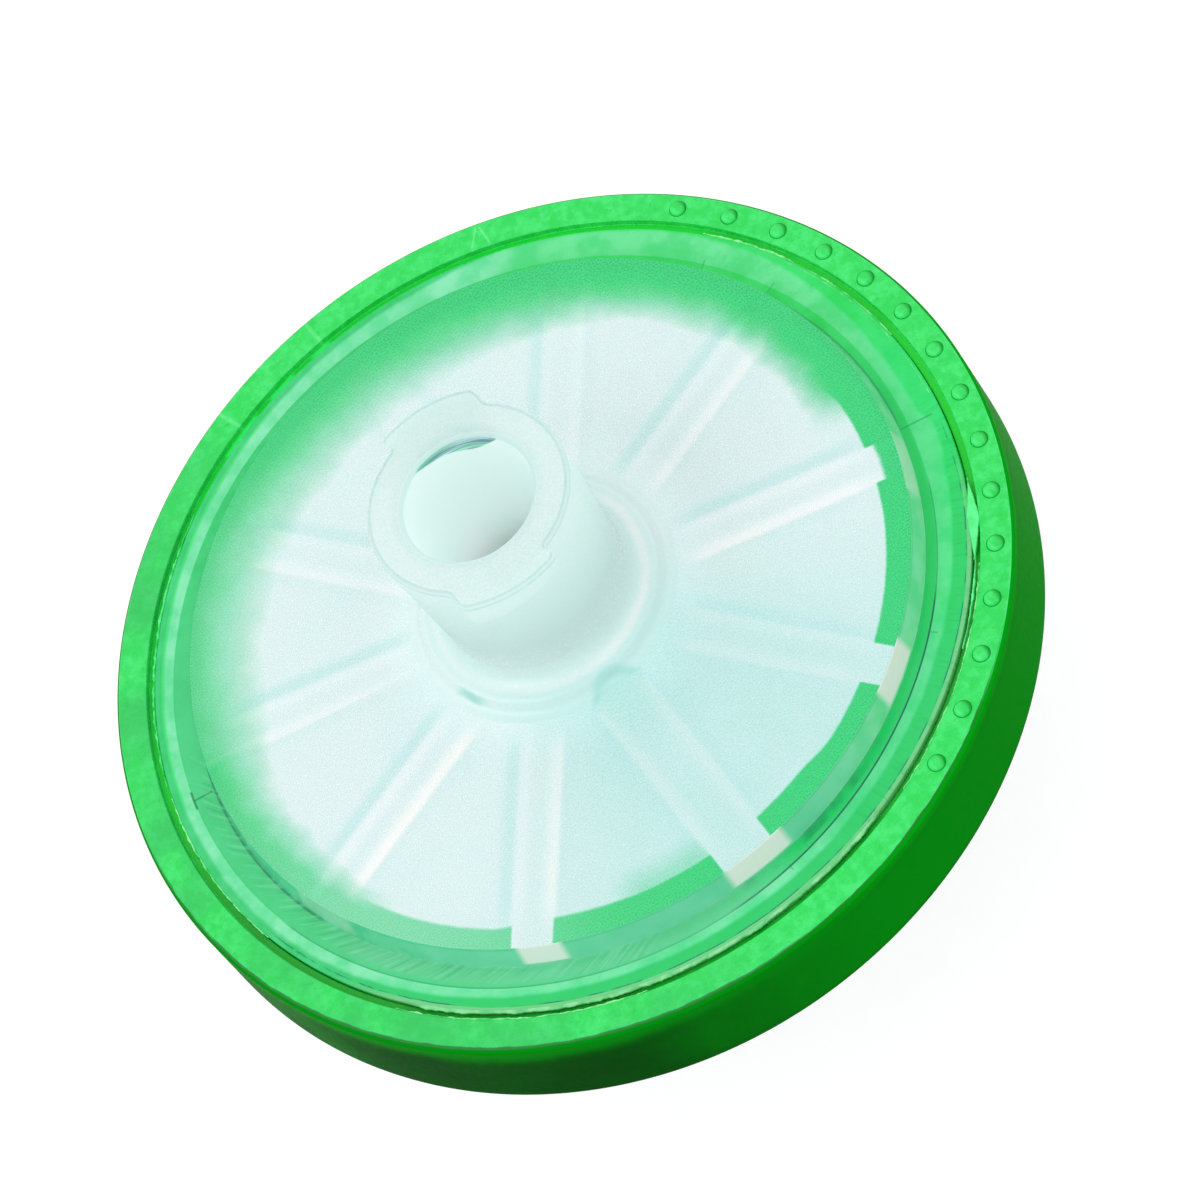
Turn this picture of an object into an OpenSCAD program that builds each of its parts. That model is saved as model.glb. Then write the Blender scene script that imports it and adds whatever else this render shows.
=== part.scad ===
// Overmoulded syringe filter.
// Two clear moulded halves clamp a thin membrane disc between them, and a coloured ring moulded
// round their rims seals the edge. The inlet on top is a female luer-lock hub with two lugs, the
// outlet below is a plain male luer nozzle. The filter stands on the nozzle's flat tip, +Z runs
// along its axis from the outlet to the inlet, and the lugs lie along -Y and +Y.

/* [Coloured ring] */
// Largest diameter of the ring, at its back edge; the two halves follow it
ring_d = 30.8; // [28:0.1:34]
// Height of the ring from its back face to its front face
ring_h = 3.75; // [3.3:0.05:4.4]
// Draft of the side wall, how much smaller the front face's radius is
ring_draft = 0.2; // [0.05:0.05:0.4]
// Rounding of the back outer edge
ring_round = 0.8; // [0.3:0.05:1.2]
// Small rounding of the front outer edge
ring_edge = 0.12; // [0.05:0.01:0.2]
// Chamfer of the back inner edge
ring_back_chamfer = 0.3; // [0.1:0.05:0.6]
// Width of the ring's front face, from its outer edge to the seam groove
face_w = 1.0; // [0.9:0.05:1.6]
// Width of the seam groove between the ring's front face and the inlet flange
seam_w = 0.28; // [0.15:0.01:0.4]
// Depth of the seam groove
seam_depth = 0.25; // [0.1:0.01:0.4]
// Thickness of the ring's inner web, above the membrane's edge
web_t = 0.44; // [0.3:0.02:0.8]
// How far the web's raised arcs reach inwards from the pocket wall under the inlet plate
web_reach = 1.18; // [0.6:0.02:1.6]
// How much of the membrane's edge the web covers
web_grip = 1.53; // [1.3:0.01:1.9]

/* [Pips on the ring] */
// Number of pips in the row
pip_count = 15; // [3:1:40]
// Angle from one pip to the next
pip_pitch = 7.43; // [5:0.01:9]
// Angle of the middle of the row
pip_middle = 0.7; // [-180:0.1:180]
// Diameter of one pip at its foot
pip_d = 0.62; // [0.3:0.01:0.8]
// Height of one pip above the ring's front face
pip_h = 0.15; // [0.05:0.01:0.3]
// Distance from the ring's front outer edge to the centres of the pips
pip_inset = 0.5; // [0.42:0.01:0.55]

/* [Inlet housing] */
// Width of the flange's open band, from the seam to the foot of the raised middle
band_w = 1.47; // [1:0.01:2]
// Thickness of the flange
flange_t = 0.8; // [0.6:0.02:1.2]
// Depth of the flange's top below the ring's front face
flange_sink = 0.05; // [0:0.01:0.15]
// Height of the raised middle above the flange
plateau_h = 0.96; // [0.6:0.02:1.6]
// Draft of the raised middle's wall, on the radius
plateau_draft = 0.2; // [0:0.02:0.4]
// Thickness of the plate over the filter chamber
plate_t = 1.0; // [0.8:0.05:1.5]
// Width of the wall that stands on the flange, round the pockets under the plate
pocket_wall = 0.3; // [0.2:0.05:0.5]
// Height of the lip that keys each flange into the ring
lip_t = 0.3; // [0.2:0.05:0.5]
// How far the lip stands out of the flange
lip_w = 0.5; // [0.2:0.05:0.6]

/* [Ribs under the inlet plate] */
// Number of ribs
rib_count = 10; // [6:1:12]
// Width of a rib
rib_w = 1.4; // [0.8:0.05:1.8]
// Width of the first, wider rib
first_rib_w = 1.85; // [0.8:0.05:2.2]
// Angle of the first rib
first_rib_angle = -76.5; // [-180:0.5:180]
// Radius at which the ribs begin
rib_start_r = 4.3; // [4:0.1:5.5]

/* [Luer inlet] */
// Height of the hub's mouth above the raised middle
hub_h = 6.64; // [6.2:0.02:9]
// Diameter of the hub at its mouth
hub_d = 6.7; // [6.3:0.02:6.73]
// Diameter of the hub where its foot fillet begins
hub_foot_d = 6.2; // [5.6:0.02:6.7]
// Rounding of the hub's rim
hub_edge = 0.15; // [0.05:0.01:0.3]
// Radius of the fillet at the hub's foot
hub_fillet = 0.6; // [0.3:0.05:0.7]
// Diameter of the low boss round the hub's foot
boss_d = 8.5; // [8.4:0.05:10]
// Height of the boss above the raised middle
boss_h = 0.35; // [0.2:0.05:0.8]
// Diameter of the luer socket at its mouth
socket_d = 4.3; // [4.27:0.005:4.315]
// Depth of the luer socket's cone
socket_depth = 7.5; // [7.0:0.05:8]
// Chamfer of the socket's mouth
socket_chamfer = 0.14; // [0.05:0.01:0.25]
// Diameter of the port from the socket into the filter chamber
port_d = 2.6; // [1.5:0.05:3.2]
// Diameter of the pad that thickens the plate round the port
pad_d = 6.8; // [5:0.1:8]
// Thickness of that pad below the plate
pad_t = 0.5; // [0.3:0.05:0.7]

/* [Luer lugs] */
// Diameter across the two lugs
lug_d = 7.8; // [7.3:0.01:7.83]
// Half of the angle that a lug spans at the hub's wall
lug_half_angle = 29; // [20:0.5:35]
// Angle between the lug's lead-in flank and the radius
lug_lead = 45; // [20:1:55]
// Thickness of the lug at its lead-in end
lug_lead_t = 1.2; // [0.9:0.05:1.8]
// Thickness of the lug at its stop end
lug_stop_t = 0.68; // [0.5:0.02:1.2]

/* [Membrane] */
// Thickness of the membrane
membrane_t = 0.15; // [0.1:0.01:0.3]

/* [Outlet housing] */
// Thickness of the outlet plate under its drain grooves
outlet_plate_t = 1.3; // [0.8:0.05:1.6]
// Thickness of the outlet flange
outlet_flange_t = 0.8; // [0.6:0.05:1.1]
// Width of the outlet flange that the ring's back lip covers
outlet_band_w = 1.52; // [0.8:0.01:2.5]
// Depth of the drain grooves
drain_depth = 0.3; // [0.2:0.05:0.7]
// Width of the drain grooves
drain_w = 0.9; // [0.5:0.05:1.2]
// Diameter of the round well over the outlet bore
drain_well_d = 4.2; // [3.2:0.1:5]
// Distance from one row of curved grooves to the next
drain_pitch = 1.7; // [1.4:0.05:1.9]
// Number of rows of curved grooves outside the well
drain_rings = 4; // [1:1:4]
// Number of straight channels to the well
drain_spokes = 10; // [6:1:12]
// Width of the solid strips between the curved grooves of neighbouring channels
drain_land_w = 0.8; // [0.4:0.05:1.2]
// Length of the nozzle from its boss to its tip
nozzle_l = 9.5; // [8:0.1:12]
// Diameter of the nozzle at its tip
nozzle_tip_d = 3.97; // [3.925:0.005:3.99]
// Diameter of the outlet bore
outlet_bore_d = 2.0; // [1:0.05:2.6]
// Chamfer of the nozzle's tip
nozzle_chamfer = 0.12; // [0.05:0.01:0.25]
// Diameter of the boss that carries the nozzle
outlet_boss_d = 8.5; // [7:0.1:10]
// Height of that boss
outlet_boss_h = 1.2; // [0.8:0.05:2]
// Radius of the fillet between the nozzle and its boss
nozzle_fillet = 0.6; // [0.3:0.05:1]

/* [Clearances] */
// Gap between the ring and the halves that it is moulded on
bond_gap = 0.02; // [0.01:0.005:0.05]
// Gap round the membrane's edge
membrane_gap = 0.05; // [0.02:0.01:0.2]

/* [Hidden] */
$fn = 128;
luer_taper = 0.06;   // change of diameter for each unit of length
cut = 1;             // how far a cutter runs past the face that it opens

// Heights from the nozzle's tip upwards
outlet_bottom_z = nozzle_l + outlet_boss_h;
drain_floor_z = outlet_bottom_z + outlet_plate_t;
seat_z = drain_floor_z + drain_depth;
outlet_flange_z = seat_z - outlet_flange_t;
membrane_top_z = seat_z + membrane_t;
flange_bottom_z = membrane_top_z + web_t;
flange_top_z = flange_bottom_z + flange_t;
ring_front_z = flange_top_z + flange_sink;
ring_back_z = ring_front_z - ring_h;
plateau_top_z = flange_top_z + plateau_h;
plate_under_z = plateau_top_z - plate_t;
boss_top_z = plateau_top_z + boss_h;
mouth_z = plateau_top_z + hub_h;
socket_floor_z = mouth_z - socket_depth;

// Radii
ring_r = ring_d / 2;
ring_face_r = ring_r - ring_draft;
flange_r = ring_face_r - face_w - seam_w;
lip_r = flange_r + lip_w;
foot_r = flange_r - band_w;
plateau_top_r = foot_r - plateau_draft;
pocket_r = foot_r - pocket_wall;
web_inner_r = pocket_r - web_reach;
membrane_r = web_inner_r + web_grip;
outlet_plate_r = flange_r - outlet_band_w;
hub_r = hub_d / 2;
hub_foot_r = hub_foot_d / 2;
boss_r = boss_d / 2;
lug_r = lug_d / 2;
nozzle_tip_r = nozzle_tip_d / 2;
nozzle_root_r = nozzle_tip_r + nozzle_l * luer_taper / 2;

// A concave fillet's section, with its corner at the origin and its legs along +X and +Y
module fillet_section(r) {
    difference() {
        square(r);
        translate([r, r]) circle(r);
    }
}

// A cone for a luer fit, its wide end at the top
module luer_cone(top_d, length) {
    cylinder(d1 = top_d - length * luer_taper, d2 = top_d, h = length);
}

// Angle and width of each rib; rib 0 is the wide one
function rib_angle(i) = first_rib_angle + i * 360 / rib_count;
function rib_width(i) = i == 0 ? first_rib_w : rib_w;

// One bar along a radius, between two radii and two heights
module radial_bar(angle, w, r0, r1, z0, z1) {
    rotate(angle) translate([r0, -w / 2, z0]) cube([r1 - r0, w, z1 - z0]);
}

// ---------- inlet half ----------

// Plate, raised middle, flange and its keying lip
module inlet_plate() {
    rotate_extrude() polygon([
        [0, plate_under_z], [pocket_r, plate_under_z],
        [pocket_r, flange_bottom_z], [lip_r, flange_bottom_z],
        [lip_r, flange_bottom_z + lip_t], [flange_r, flange_bottom_z + lip_t],
        [flange_r, flange_top_z], [foot_r, flange_top_z],
        [plateau_top_r, plateau_top_z], [0, plateau_top_z]
    ]);
}

// Ribs that press on the membrane; the first one has a round end near the hub
module inlet_ribs() {
    intersection() {
        union() {
            for (i = [0 : rib_count - 1])
                radial_bar(rib_angle(i), rib_width(i), rib_start_r, foot_r + cut,
                           membrane_top_z, plate_under_z + plate_t / 2);
            rotate(first_rib_angle) translate([rib_start_r, 0, membrane_top_z])
                cylinder(d = first_rib_w, h = plate_under_z + plate_t / 2 - membrane_top_z);
        }
        union() {
            cylinder(r = pocket_r + pocket_wall / 2, h = plateau_top_z);
            cylinder(r = foot_r, h = flange_bottom_z + flange_t / 2);
        }
    }
}

// The luer hub with its foot boss, before it is bored
module inlet_hub() {
    rotate_extrude() {
        polygon([
            [0, plate_under_z], [boss_r, plate_under_z], [boss_r, boss_top_z],
            [hub_foot_r, boss_top_z], [hub_r, mouth_z - hub_edge],
            [hub_r - hub_edge, mouth_z - hub_edge], [hub_r - hub_edge, mouth_z], [0, mouth_z]
        ]);
        translate([hub_r - hub_edge, mouth_z - hub_edge]) circle(hub_edge);
        translate([hub_foot_r, boss_top_z]) fillet_section(hub_fillet);
    }
    translate([0, 0, plate_under_z - pad_t]) cylinder(d = pad_d, h = pad_t + plate_t / 2);
}

// Plan of the lug on the -Y side: lead-in flank towards -X, steep stop flank towards +X
module lug_plan() {
    lead_angle = -90 - lug_half_angle;
    stop_angle = -90 + lug_half_angle;
    root = hub_r * [cos(lead_angle), sin(lead_angle)];
    flank = lug_d * [cos(lead_angle + lug_lead), sin(lead_angle + lug_lead)];
    intersection() {
        circle(lug_r);
        polygon([[0, 0], root, root + flank, [0, -2 * lug_d],
                 2 * lug_d * [cos(stop_angle), sin(stop_angle)]]);
    }
}

// One lug, its underside sloping like a thread
module lug() {
    half_chord = hub_r * sin(lug_half_angle);
    slope = atan((lug_lead_t - lug_stop_t) / (2 * half_chord));
    difference() {
        translate([0, 0, mouth_z - 2 * lug_lead_t]) linear_extrude(2 * lug_lead_t) lug_plan();
        translate([-half_chord, 0, mouth_z - lug_lead_t]) rotate([0, -slope, 0])
            translate([-lug_d, -lug_d, -lug_d]) cube([3 * lug_d, 2 * lug_d, lug_d]);
    }
}

module inlet_housing() color([0.87, 0.95, 0.94]) {
    difference() {
        union() {
            inlet_plate();
            inlet_ribs();
            inlet_hub();
            lug();
            rotate(180) lug();
        }
        translate([0, 0, socket_floor_z]) luer_cone(socket_d, socket_depth);
        translate([0, 0, mouth_z - socket_chamfer])
            cylinder(d1 = socket_d, d2 = socket_d + 2 * (socket_chamfer + cut),
                     h = socket_chamfer + cut);
        translate([0, 0, plate_under_z - pad_t - cut])
            cylinder(d = port_d, h = socket_floor_z - plate_under_z + pad_t + 2 * cut);
    }
}

// ---------- membrane ----------

module filter_membrane() color([0.97, 0.98, 0.97])
    translate([0, 0, seat_z]) cylinder(r = membrane_r, h = membrane_t);

// ---------- outlet half ----------

// Plate, flange, keying lip, boss and nozzle, before the grooves and the bore are cut
module outlet_body() {
    rotate_extrude() {
        polygon([
            [0, 0], [nozzle_tip_r - nozzle_chamfer, 0], [nozzle_tip_r, nozzle_chamfer],
            [nozzle_root_r, nozzle_l], [outlet_boss_d / 2, nozzle_l],
            [outlet_boss_d / 2, outlet_bottom_z], [outlet_plate_r, outlet_bottom_z],
            [outlet_plate_r, outlet_flange_z], [flange_r, outlet_flange_z],
            [flange_r, seat_z - lip_t], [lip_r, seat_z - lip_t], [lip_r, seat_z], [0, seat_z]
        ]);
        translate([nozzle_root_r - nozzle_fillet * luer_taper, nozzle_l])
            mirror([0, 1]) fillet_section(nozzle_fillet);
    }
}

// Straight channels with curved grooves on both sides, which lead the filtrate to a well over
// the bore; the solid strips between them hold the lands together
module drain_grooves() {
    well_r = drain_well_d / 2;
    outer_r = well_r + drain_rings * drain_pitch;
    spoke_angle = 360 / drain_spokes;
    translate([0, 0, drain_floor_z]) {
        cylinder(r = well_r, h = drain_depth + cut);
        difference() {
            for (i = [1 : drain_rings]) difference() {
                cylinder(r = well_r + i * drain_pitch, h = drain_depth + cut);
                translate([0, 0, -cut])
                    cylinder(r = well_r + i * drain_pitch - drain_w, h = drain_depth + 3 * cut);
            }
            for (i = [0 : drain_spokes - 1])
                radial_bar(rib_angle(0) + i * spoke_angle, drain_land_w, well_r / 2,
                           outer_r + cut, -cut, drain_depth + 2 * cut);
        }
    }
    for (i = [0 : drain_spokes - 1])
        radial_bar(rib_angle(0.5) + i * spoke_angle, drain_w, well_r - drain_w / 2,
                   outer_r - drain_w / 2, drain_floor_z, seat_z + cut);
}

module outlet_housing() color([0.85, 0.94, 0.93])
    difference() {
        outlet_body();
        drain_grooves();
        translate([0, 0, -cut]) cylinder(d = outlet_bore_d, h = drain_floor_z + 2 * cut);
    }

// ---------- coloured ring ----------

// Section of the ring: front lip, side wall, back lip and the web between the two halves
module ring_section() {
    polygon([
        [web_inner_r, membrane_top_z + bond_gap], [web_inner_r, plate_under_z - bond_gap],
        [pocket_r - bond_gap, plate_under_z - bond_gap],
        [pocket_r - bond_gap, flange_bottom_z - bond_gap],
        [lip_r + bond_gap, flange_bottom_z - bond_gap],
        [lip_r + bond_gap, flange_bottom_z + lip_t + bond_gap],
        [flange_r + bond_gap, flange_bottom_z + lip_t + bond_gap],
        [flange_r + bond_gap, ring_front_z - seam_depth],
        [flange_r + seam_w, ring_front_z - seam_depth], [flange_r + seam_w, ring_front_z],
        [ring_face_r - ring_edge, ring_front_z], [ring_face_r - ring_edge, ring_front_z - ring_edge],
        [ring_face_r, ring_front_z - ring_edge], [ring_r, ring_back_z + ring_round],
        [ring_r - ring_round, ring_back_z + ring_round], [ring_r - ring_round, ring_back_z],
        [outlet_plate_r + bond_gap + ring_back_chamfer, ring_back_z],
        [outlet_plate_r + bond_gap, ring_back_z + ring_back_chamfer],
        [outlet_plate_r + bond_gap, outlet_flange_z - bond_gap],
        [flange_r + bond_gap, outlet_flange_z - bond_gap],
        [flange_r + bond_gap, seat_z - lip_t - bond_gap],
        [lip_r + bond_gap, seat_z - lip_t - bond_gap], [lip_r + bond_gap, seat_z + bond_gap],
        [membrane_r + membrane_gap, seat_z + bond_gap],
        [membrane_r + membrane_gap, membrane_top_z + bond_gap]
    ]);
    translate([ring_face_r - ring_edge, ring_front_z - ring_edge]) circle(ring_edge);
    translate([ring_r - ring_round, ring_back_z + ring_round]) circle(ring_round);
}

// Gaps in the web where the inlet ribs pass through it
module rib_notches() {
    intersection() {
        for (i = [0 : rib_count - 1])
            radial_bar(rib_angle(i), rib_width(i) + 2 * bond_gap, web_inner_r - cut, foot_r + cut,
                       membrane_top_z, plateau_top_z);
        cylinder(r = foot_r + bond_gap, h = plateau_top_z);
    }
}

// One pip: a flat-topped button with a rounded shoulder
module pip() {
    shoulder = pip_h * 0.8;
    rotate_extrude($fn = 32) {
        translate([0, -pip_h]) square([pip_d / 2, 2 * pip_h - shoulder]);
        translate([0, -pip_h]) square([pip_d / 2 - shoulder, 2 * pip_h]);
        intersection() {
            translate([pip_d / 2 - shoulder, pip_h - shoulder]) circle(shoulder);
            square([pip_d / 2, pip_h]);
        }
    }
}

module overmould_ring() color([0.24, 0.87, 0.43]) {
    difference() {
        rotate_extrude() ring_section();
        rib_notches();
    }
    for (i = [0 : pip_count - 1])
        rotate(pip_middle + (i - (pip_count - 1) / 2) * pip_pitch)
            translate([ring_face_r - pip_inset, 0, ring_front_z]) pip();
}

outlet_housing();
filter_membrane();
inlet_housing();
overmould_ring();
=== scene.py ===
"""Overmoulded syringe filter: two clear moulded halves, a membrane between them, a green ring.

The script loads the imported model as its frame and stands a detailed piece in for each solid.
It is laid out as an add-on: sizes and colours sit in property groups, each piece is made by an
operator, and a panel in the 3D view's sidebar lists them.
"""

import math

import bmesh
import bpy
from bpy.props import (
    FloatProperty,
    FloatVectorProperty,
    IntProperty,
    PointerProperty,
)
from mathutils import Matrix, Vector, noise


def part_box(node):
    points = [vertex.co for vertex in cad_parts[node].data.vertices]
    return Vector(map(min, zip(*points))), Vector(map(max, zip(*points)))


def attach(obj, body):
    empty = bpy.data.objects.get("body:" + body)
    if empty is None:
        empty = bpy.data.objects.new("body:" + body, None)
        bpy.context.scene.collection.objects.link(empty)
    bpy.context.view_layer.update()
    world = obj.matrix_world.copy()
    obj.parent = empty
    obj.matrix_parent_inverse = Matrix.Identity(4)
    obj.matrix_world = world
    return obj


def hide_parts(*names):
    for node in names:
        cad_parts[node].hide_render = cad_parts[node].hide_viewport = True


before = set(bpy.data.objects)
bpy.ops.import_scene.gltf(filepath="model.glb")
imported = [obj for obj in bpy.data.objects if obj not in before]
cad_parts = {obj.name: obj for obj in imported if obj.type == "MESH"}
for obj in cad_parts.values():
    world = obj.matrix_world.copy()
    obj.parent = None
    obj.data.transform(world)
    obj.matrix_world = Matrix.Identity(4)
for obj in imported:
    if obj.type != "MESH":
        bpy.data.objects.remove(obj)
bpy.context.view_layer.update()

bl_info = {
    "name": "Syringe Filter Builder",
    "version": (1, 0, 0),
    "blender": (4, 5, 0),
    "location": "3D View > Sidebar > Filter",
    "description": "Builds the pieces of a syringe filter and their stage",
    "category": "Add Mesh",
}

MM = 0.001
# Points in each row of the ring and of the inlet half
COLUMNS = 600
# Creases sharper than this stay sharp when a piece is shaded
CREASE = math.radians(32)
# Distance kept between the ring and the halves, so that their surfaces don't coincide
GAP = 0.02 * MM
# Thickness of the lip that each half has under the ring
LIP = 0.3 * MM
RING_LOW, RING_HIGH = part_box("overmould_ring")
_, INLET_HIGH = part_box("inlet_housing")
OUTLET_LOW, OUTLET_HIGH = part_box("outlet_housing")
MEMBRANE_LOW, MEMBRANE_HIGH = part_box("filter_membrane")


# ---------- sizes and colours ----------


class RingSizes(bpy.types.PropertyGroup):
    """Sizes of the green ring that seals the rim."""

    face_radius: FloatProperty(
        name="Face radius", description="Outer radius of the front face",
        default=15.2 * MM, unit="LENGTH", precision=6)
    groove_radius: FloatProperty(
        name="Groove radius", description="Outer radius of the seam groove",
        default=14.2 * MM, unit="LENGTH", precision=6)
    groove_depth: FloatProperty(
        name="Groove depth", description="Depth of the seam groove",
        default=0.25 * MM, unit="LENGTH", precision=6)
    back_rounding: FloatProperty(
        name="Back rounding", description="Rounding of the back outer edge",
        default=0.5 * MM, unit="LENGTH", precision=6)
    web_radius: FloatProperty(
        name="Web radius", description="Inner radius of the web's raised arcs",
        default=10.97 * MM, unit="LENGTH", precision=6)
    pip_count: IntProperty(
        name="Pips", description="Number of pips on the front face", default=15, min=1)
    pip_pitch: FloatProperty(
        name="Pip pitch", description="Angle from one pip to the next",
        default=math.radians(7.43), unit="ROTATION")
    pip_middle: FloatProperty(
        name="Pip middle", description="Angle of the middle of the row of pips",
        default=math.radians(0.7), unit="ROTATION")
    pip_radius: FloatProperty(
        name="Pip radius", description="Radius of one pip",
        default=0.275 * MM, unit="LENGTH", precision=6)
    pip_height: FloatProperty(
        name="Pip height", description="Height of one pip",
        default=0.15 * MM, unit="LENGTH", precision=6)
    pip_inset: FloatProperty(
        name="Pip inset", description="Distance of the pips from the front outer edge",
        default=0.5 * MM, unit="LENGTH", precision=6)


class HousingSizes(bpy.types.PropertyGroup):
    """Sizes of the inlet half: flange, raised middle and ribs."""

    flange_radius: FloatProperty(
        name="Flange radius", description="Radius of the flange's top",
        default=13.92 * MM, unit="LENGTH", precision=6)
    flange_top: FloatProperty(
        name="Flange top", description="Height of the flange's top",
        default=13.69 * MM, unit="LENGTH", precision=6)
    flange_bottom: FloatProperty(
        name="Flange bottom", description="Height of the flange's underside",
        default=12.89 * MM, unit="LENGTH", precision=6)
    foot_radius: FloatProperty(
        name="Foot radius", description="Radius of the raised middle at its foot",
        default=12.45 * MM, unit="LENGTH", precision=6)
    plateau_radius: FloatProperty(
        name="Middle radius", description="Radius of the raised middle at its top",
        default=12.25 * MM, unit="LENGTH", precision=6)
    plateau_top: FloatProperty(
        name="Middle top", description="Height of the raised middle's top",
        default=14.65 * MM, unit="LENGTH", precision=6)
    plate_underside: FloatProperty(
        name="Plate underside", description="Height of the plate's underside",
        default=13.65 * MM, unit="LENGTH", precision=6)
    pocket_radius: FloatProperty(
        name="Pocket radius", description="Radius of the pockets under the plate",
        default=12.15 * MM, unit="LENGTH", precision=6)
    rib_count: IntProperty(
        name="Ribs", description="Number of ribs under the plate", default=10, min=3)
    rib_width: FloatProperty(
        name="Rib width", description="Width of a rib",
        default=1.4 * MM, unit="LENGTH", precision=6)
    first_rib_width: FloatProperty(
        name="First rib width", description="Width of the wide rib",
        default=1.85 * MM, unit="LENGTH", precision=6)
    first_rib_angle: FloatProperty(
        name="First rib angle", description="Angle of the wide rib",
        default=math.radians(-76.5), unit="ROTATION")
    rib_start: FloatProperty(
        name="Rib start", description="Radius at which the ribs begin",
        default=4.3 * MM, unit="LENGTH", precision=6)


class HubSizes(bpy.types.PropertyGroup):
    """Sizes of the luer hub with its two lugs."""

    boss_radius: FloatProperty(
        name="Boss radius", description="Radius of the low boss round the hub's foot",
        default=4.25 * MM, unit="LENGTH", precision=6)
    boss_top: FloatProperty(
        name="Boss top", description="Height of the boss's top",
        default=15.0 * MM, unit="LENGTH", precision=6)
    foot_radius: FloatProperty(
        name="Foot radius", description="Radius of the hub above its foot fillet",
        default=3.1 * MM, unit="LENGTH", precision=6)
    radius: FloatProperty(
        name="Hub radius", description="Radius of the hub at its mouth",
        default=3.35 * MM, unit="LENGTH", precision=6)
    fillet: FloatProperty(
        name="Fillet", description="Radius of the fillet at the hub's foot",
        default=0.6 * MM, unit="LENGTH", precision=6)
    edge: FloatProperty(
        name="Edge", description="Rounding of the rim",
        default=0.13 * MM, unit="LENGTH", precision=6)
    socket_radius: FloatProperty(
        name="Socket radius", description="Radius of the luer socket at its mouth",
        default=2.15 * MM, unit="LENGTH", precision=6)
    socket_floor_radius: FloatProperty(
        name="Socket floor radius", description="Radius of the luer socket at its floor",
        default=1.925 * MM, unit="LENGTH", precision=6)
    socket_depth: FloatProperty(
        name="Socket depth", description="Depth of the luer socket",
        default=7.5 * MM, unit="LENGTH", precision=6)
    port_radius: FloatProperty(
        name="Port radius", description="Radius of the port under the socket",
        default=1.3 * MM, unit="LENGTH", precision=6)
    pad_radius: FloatProperty(
        name="Pad radius", description="Radius of the pad under the plate",
        default=3.4 * MM, unit="LENGTH", precision=6)
    pad_depth: FloatProperty(
        name="Pad depth", description="Depth of that pad below the plate",
        default=0.5 * MM, unit="LENGTH", precision=6)
    lug_radius: FloatProperty(
        name="Lug radius", description="Radius of the lugs",
        default=3.9 * MM, unit="LENGTH", precision=6)
    lug_corner: FloatProperty(
        name="Lug corner", description="Distance over which the lugs' corners are rounded",
        default=0.2 * MM, unit="LENGTH", precision=6)
    lug_half_angle: FloatProperty(
        name="Lug half angle", description="Half of the angle that a lug spans",
        default=math.radians(29), unit="ROTATION")
    lug_lead: FloatProperty(
        name="Lug lead-in", description="Angle of the lead-in flank to the radius",
        default=math.radians(45), unit="ROTATION")
    lug_lead_depth: FloatProperty(
        name="Lead-in depth", description="Thickness of a lug at its lead-in end",
        default=1.2 * MM, unit="LENGTH", precision=6)
    lug_stop_depth: FloatProperty(
        name="Stop depth", description="Thickness of a lug at its stop end",
        default=0.68 * MM, unit="LENGTH", precision=6)


class OutletSizes(bpy.types.PropertyGroup):
    """Sizes of the outlet half with its nozzle."""

    plate_radius: FloatProperty(
        name="Plate radius", description="Radius of the outlet plate",
        default=12.4 * MM, unit="LENGTH", precision=6)
    plate_bottom: FloatProperty(
        name="Plate bottom", description="Height of the plate's lower face",
        default=10.7 * MM, unit="LENGTH", precision=6)
    flange_bottom: FloatProperty(
        name="Flange bottom", description="Height of the flange's lower face",
        default=11.5 * MM, unit="LENGTH", precision=6)
    boss_radius: FloatProperty(
        name="Boss radius", description="Radius of the boss that carries the nozzle",
        default=4.25 * MM, unit="LENGTH", precision=6)
    nozzle_length: FloatProperty(
        name="Nozzle length", description="Length of the nozzle",
        default=9.5 * MM, unit="LENGTH", precision=6)
    tip_radius: FloatProperty(
        name="Tip radius", description="Radius of the nozzle at its tip",
        default=1.985 * MM, unit="LENGTH", precision=6)
    root_radius: FloatProperty(
        name="Root radius", description="Radius of the nozzle at its root",
        default=2.27 * MM, unit="LENGTH", precision=6)
    bore_radius: FloatProperty(
        name="Bore radius", description="Radius of the outlet bore",
        default=1.0 * MM, unit="LENGTH", precision=6)


class Finishes(bpy.types.PropertyGroup):
    """Colours of the plastics and the membrane."""

    ring_face: FloatVectorProperty(
        name="Ring face", description="Colour of the ring's front face",
        default=(0.018, 0.66, 0.09), subtype="COLOR", size=3, min=0, max=1)
    # a darker copy of the ring's green: painted shade for the side wall and back
    ring_wall_shading: FloatVectorProperty(
        name="Ring wall", description="Colour of the ring's side wall",
        default=(0.0003, 0.13, 0.003), subtype="COLOR", size=3, min=0, max=1)
    # a lighter copy of the ring's green: painted light for the ring's surfaces under the clear
    # plastic, against the shade they get there
    ring_inside_lit: FloatVectorProperty(
        name="Ring inside", description="Colour of the ring's surfaces under the clear plastic",
        default=(0.001, 0.86, 0.4), subtype="COLOR", size=3, min=0, max=1)
    clear: FloatVectorProperty(
        name="Clear plastic", description="Tint of the clear plastic",
        default=(0.86, 0.99, 0.97), subtype="COLOR", size=3, min=0, max=1)
    frosted: FloatVectorProperty(
        name="Frosted plastic", description="Tint of the frosted top of the raised middle",
        default=(0.83, 0.985, 0.98), subtype="COLOR", size=3, min=0, max=1)
    hub: FloatVectorProperty(
        name="Hub plastic", description="Tint of the thick milky plastic of the hub",
        default=(0.8, 0.96, 0.94), subtype="COLOR", size=3, min=0, max=1)
    glow: FloatVectorProperty(
        name="Light through the hub", description="Tint of light that shines through the hub",
        default=(0.92, 0.998, 0.985), subtype="COLOR", size=3, min=0, max=1)
    membrane: FloatVectorProperty(
        name="Membrane", description="Colour of the membrane",
        default=(0.93, 0.97, 0.97), subtype="COLOR", size=3, min=0, max=1)


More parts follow.
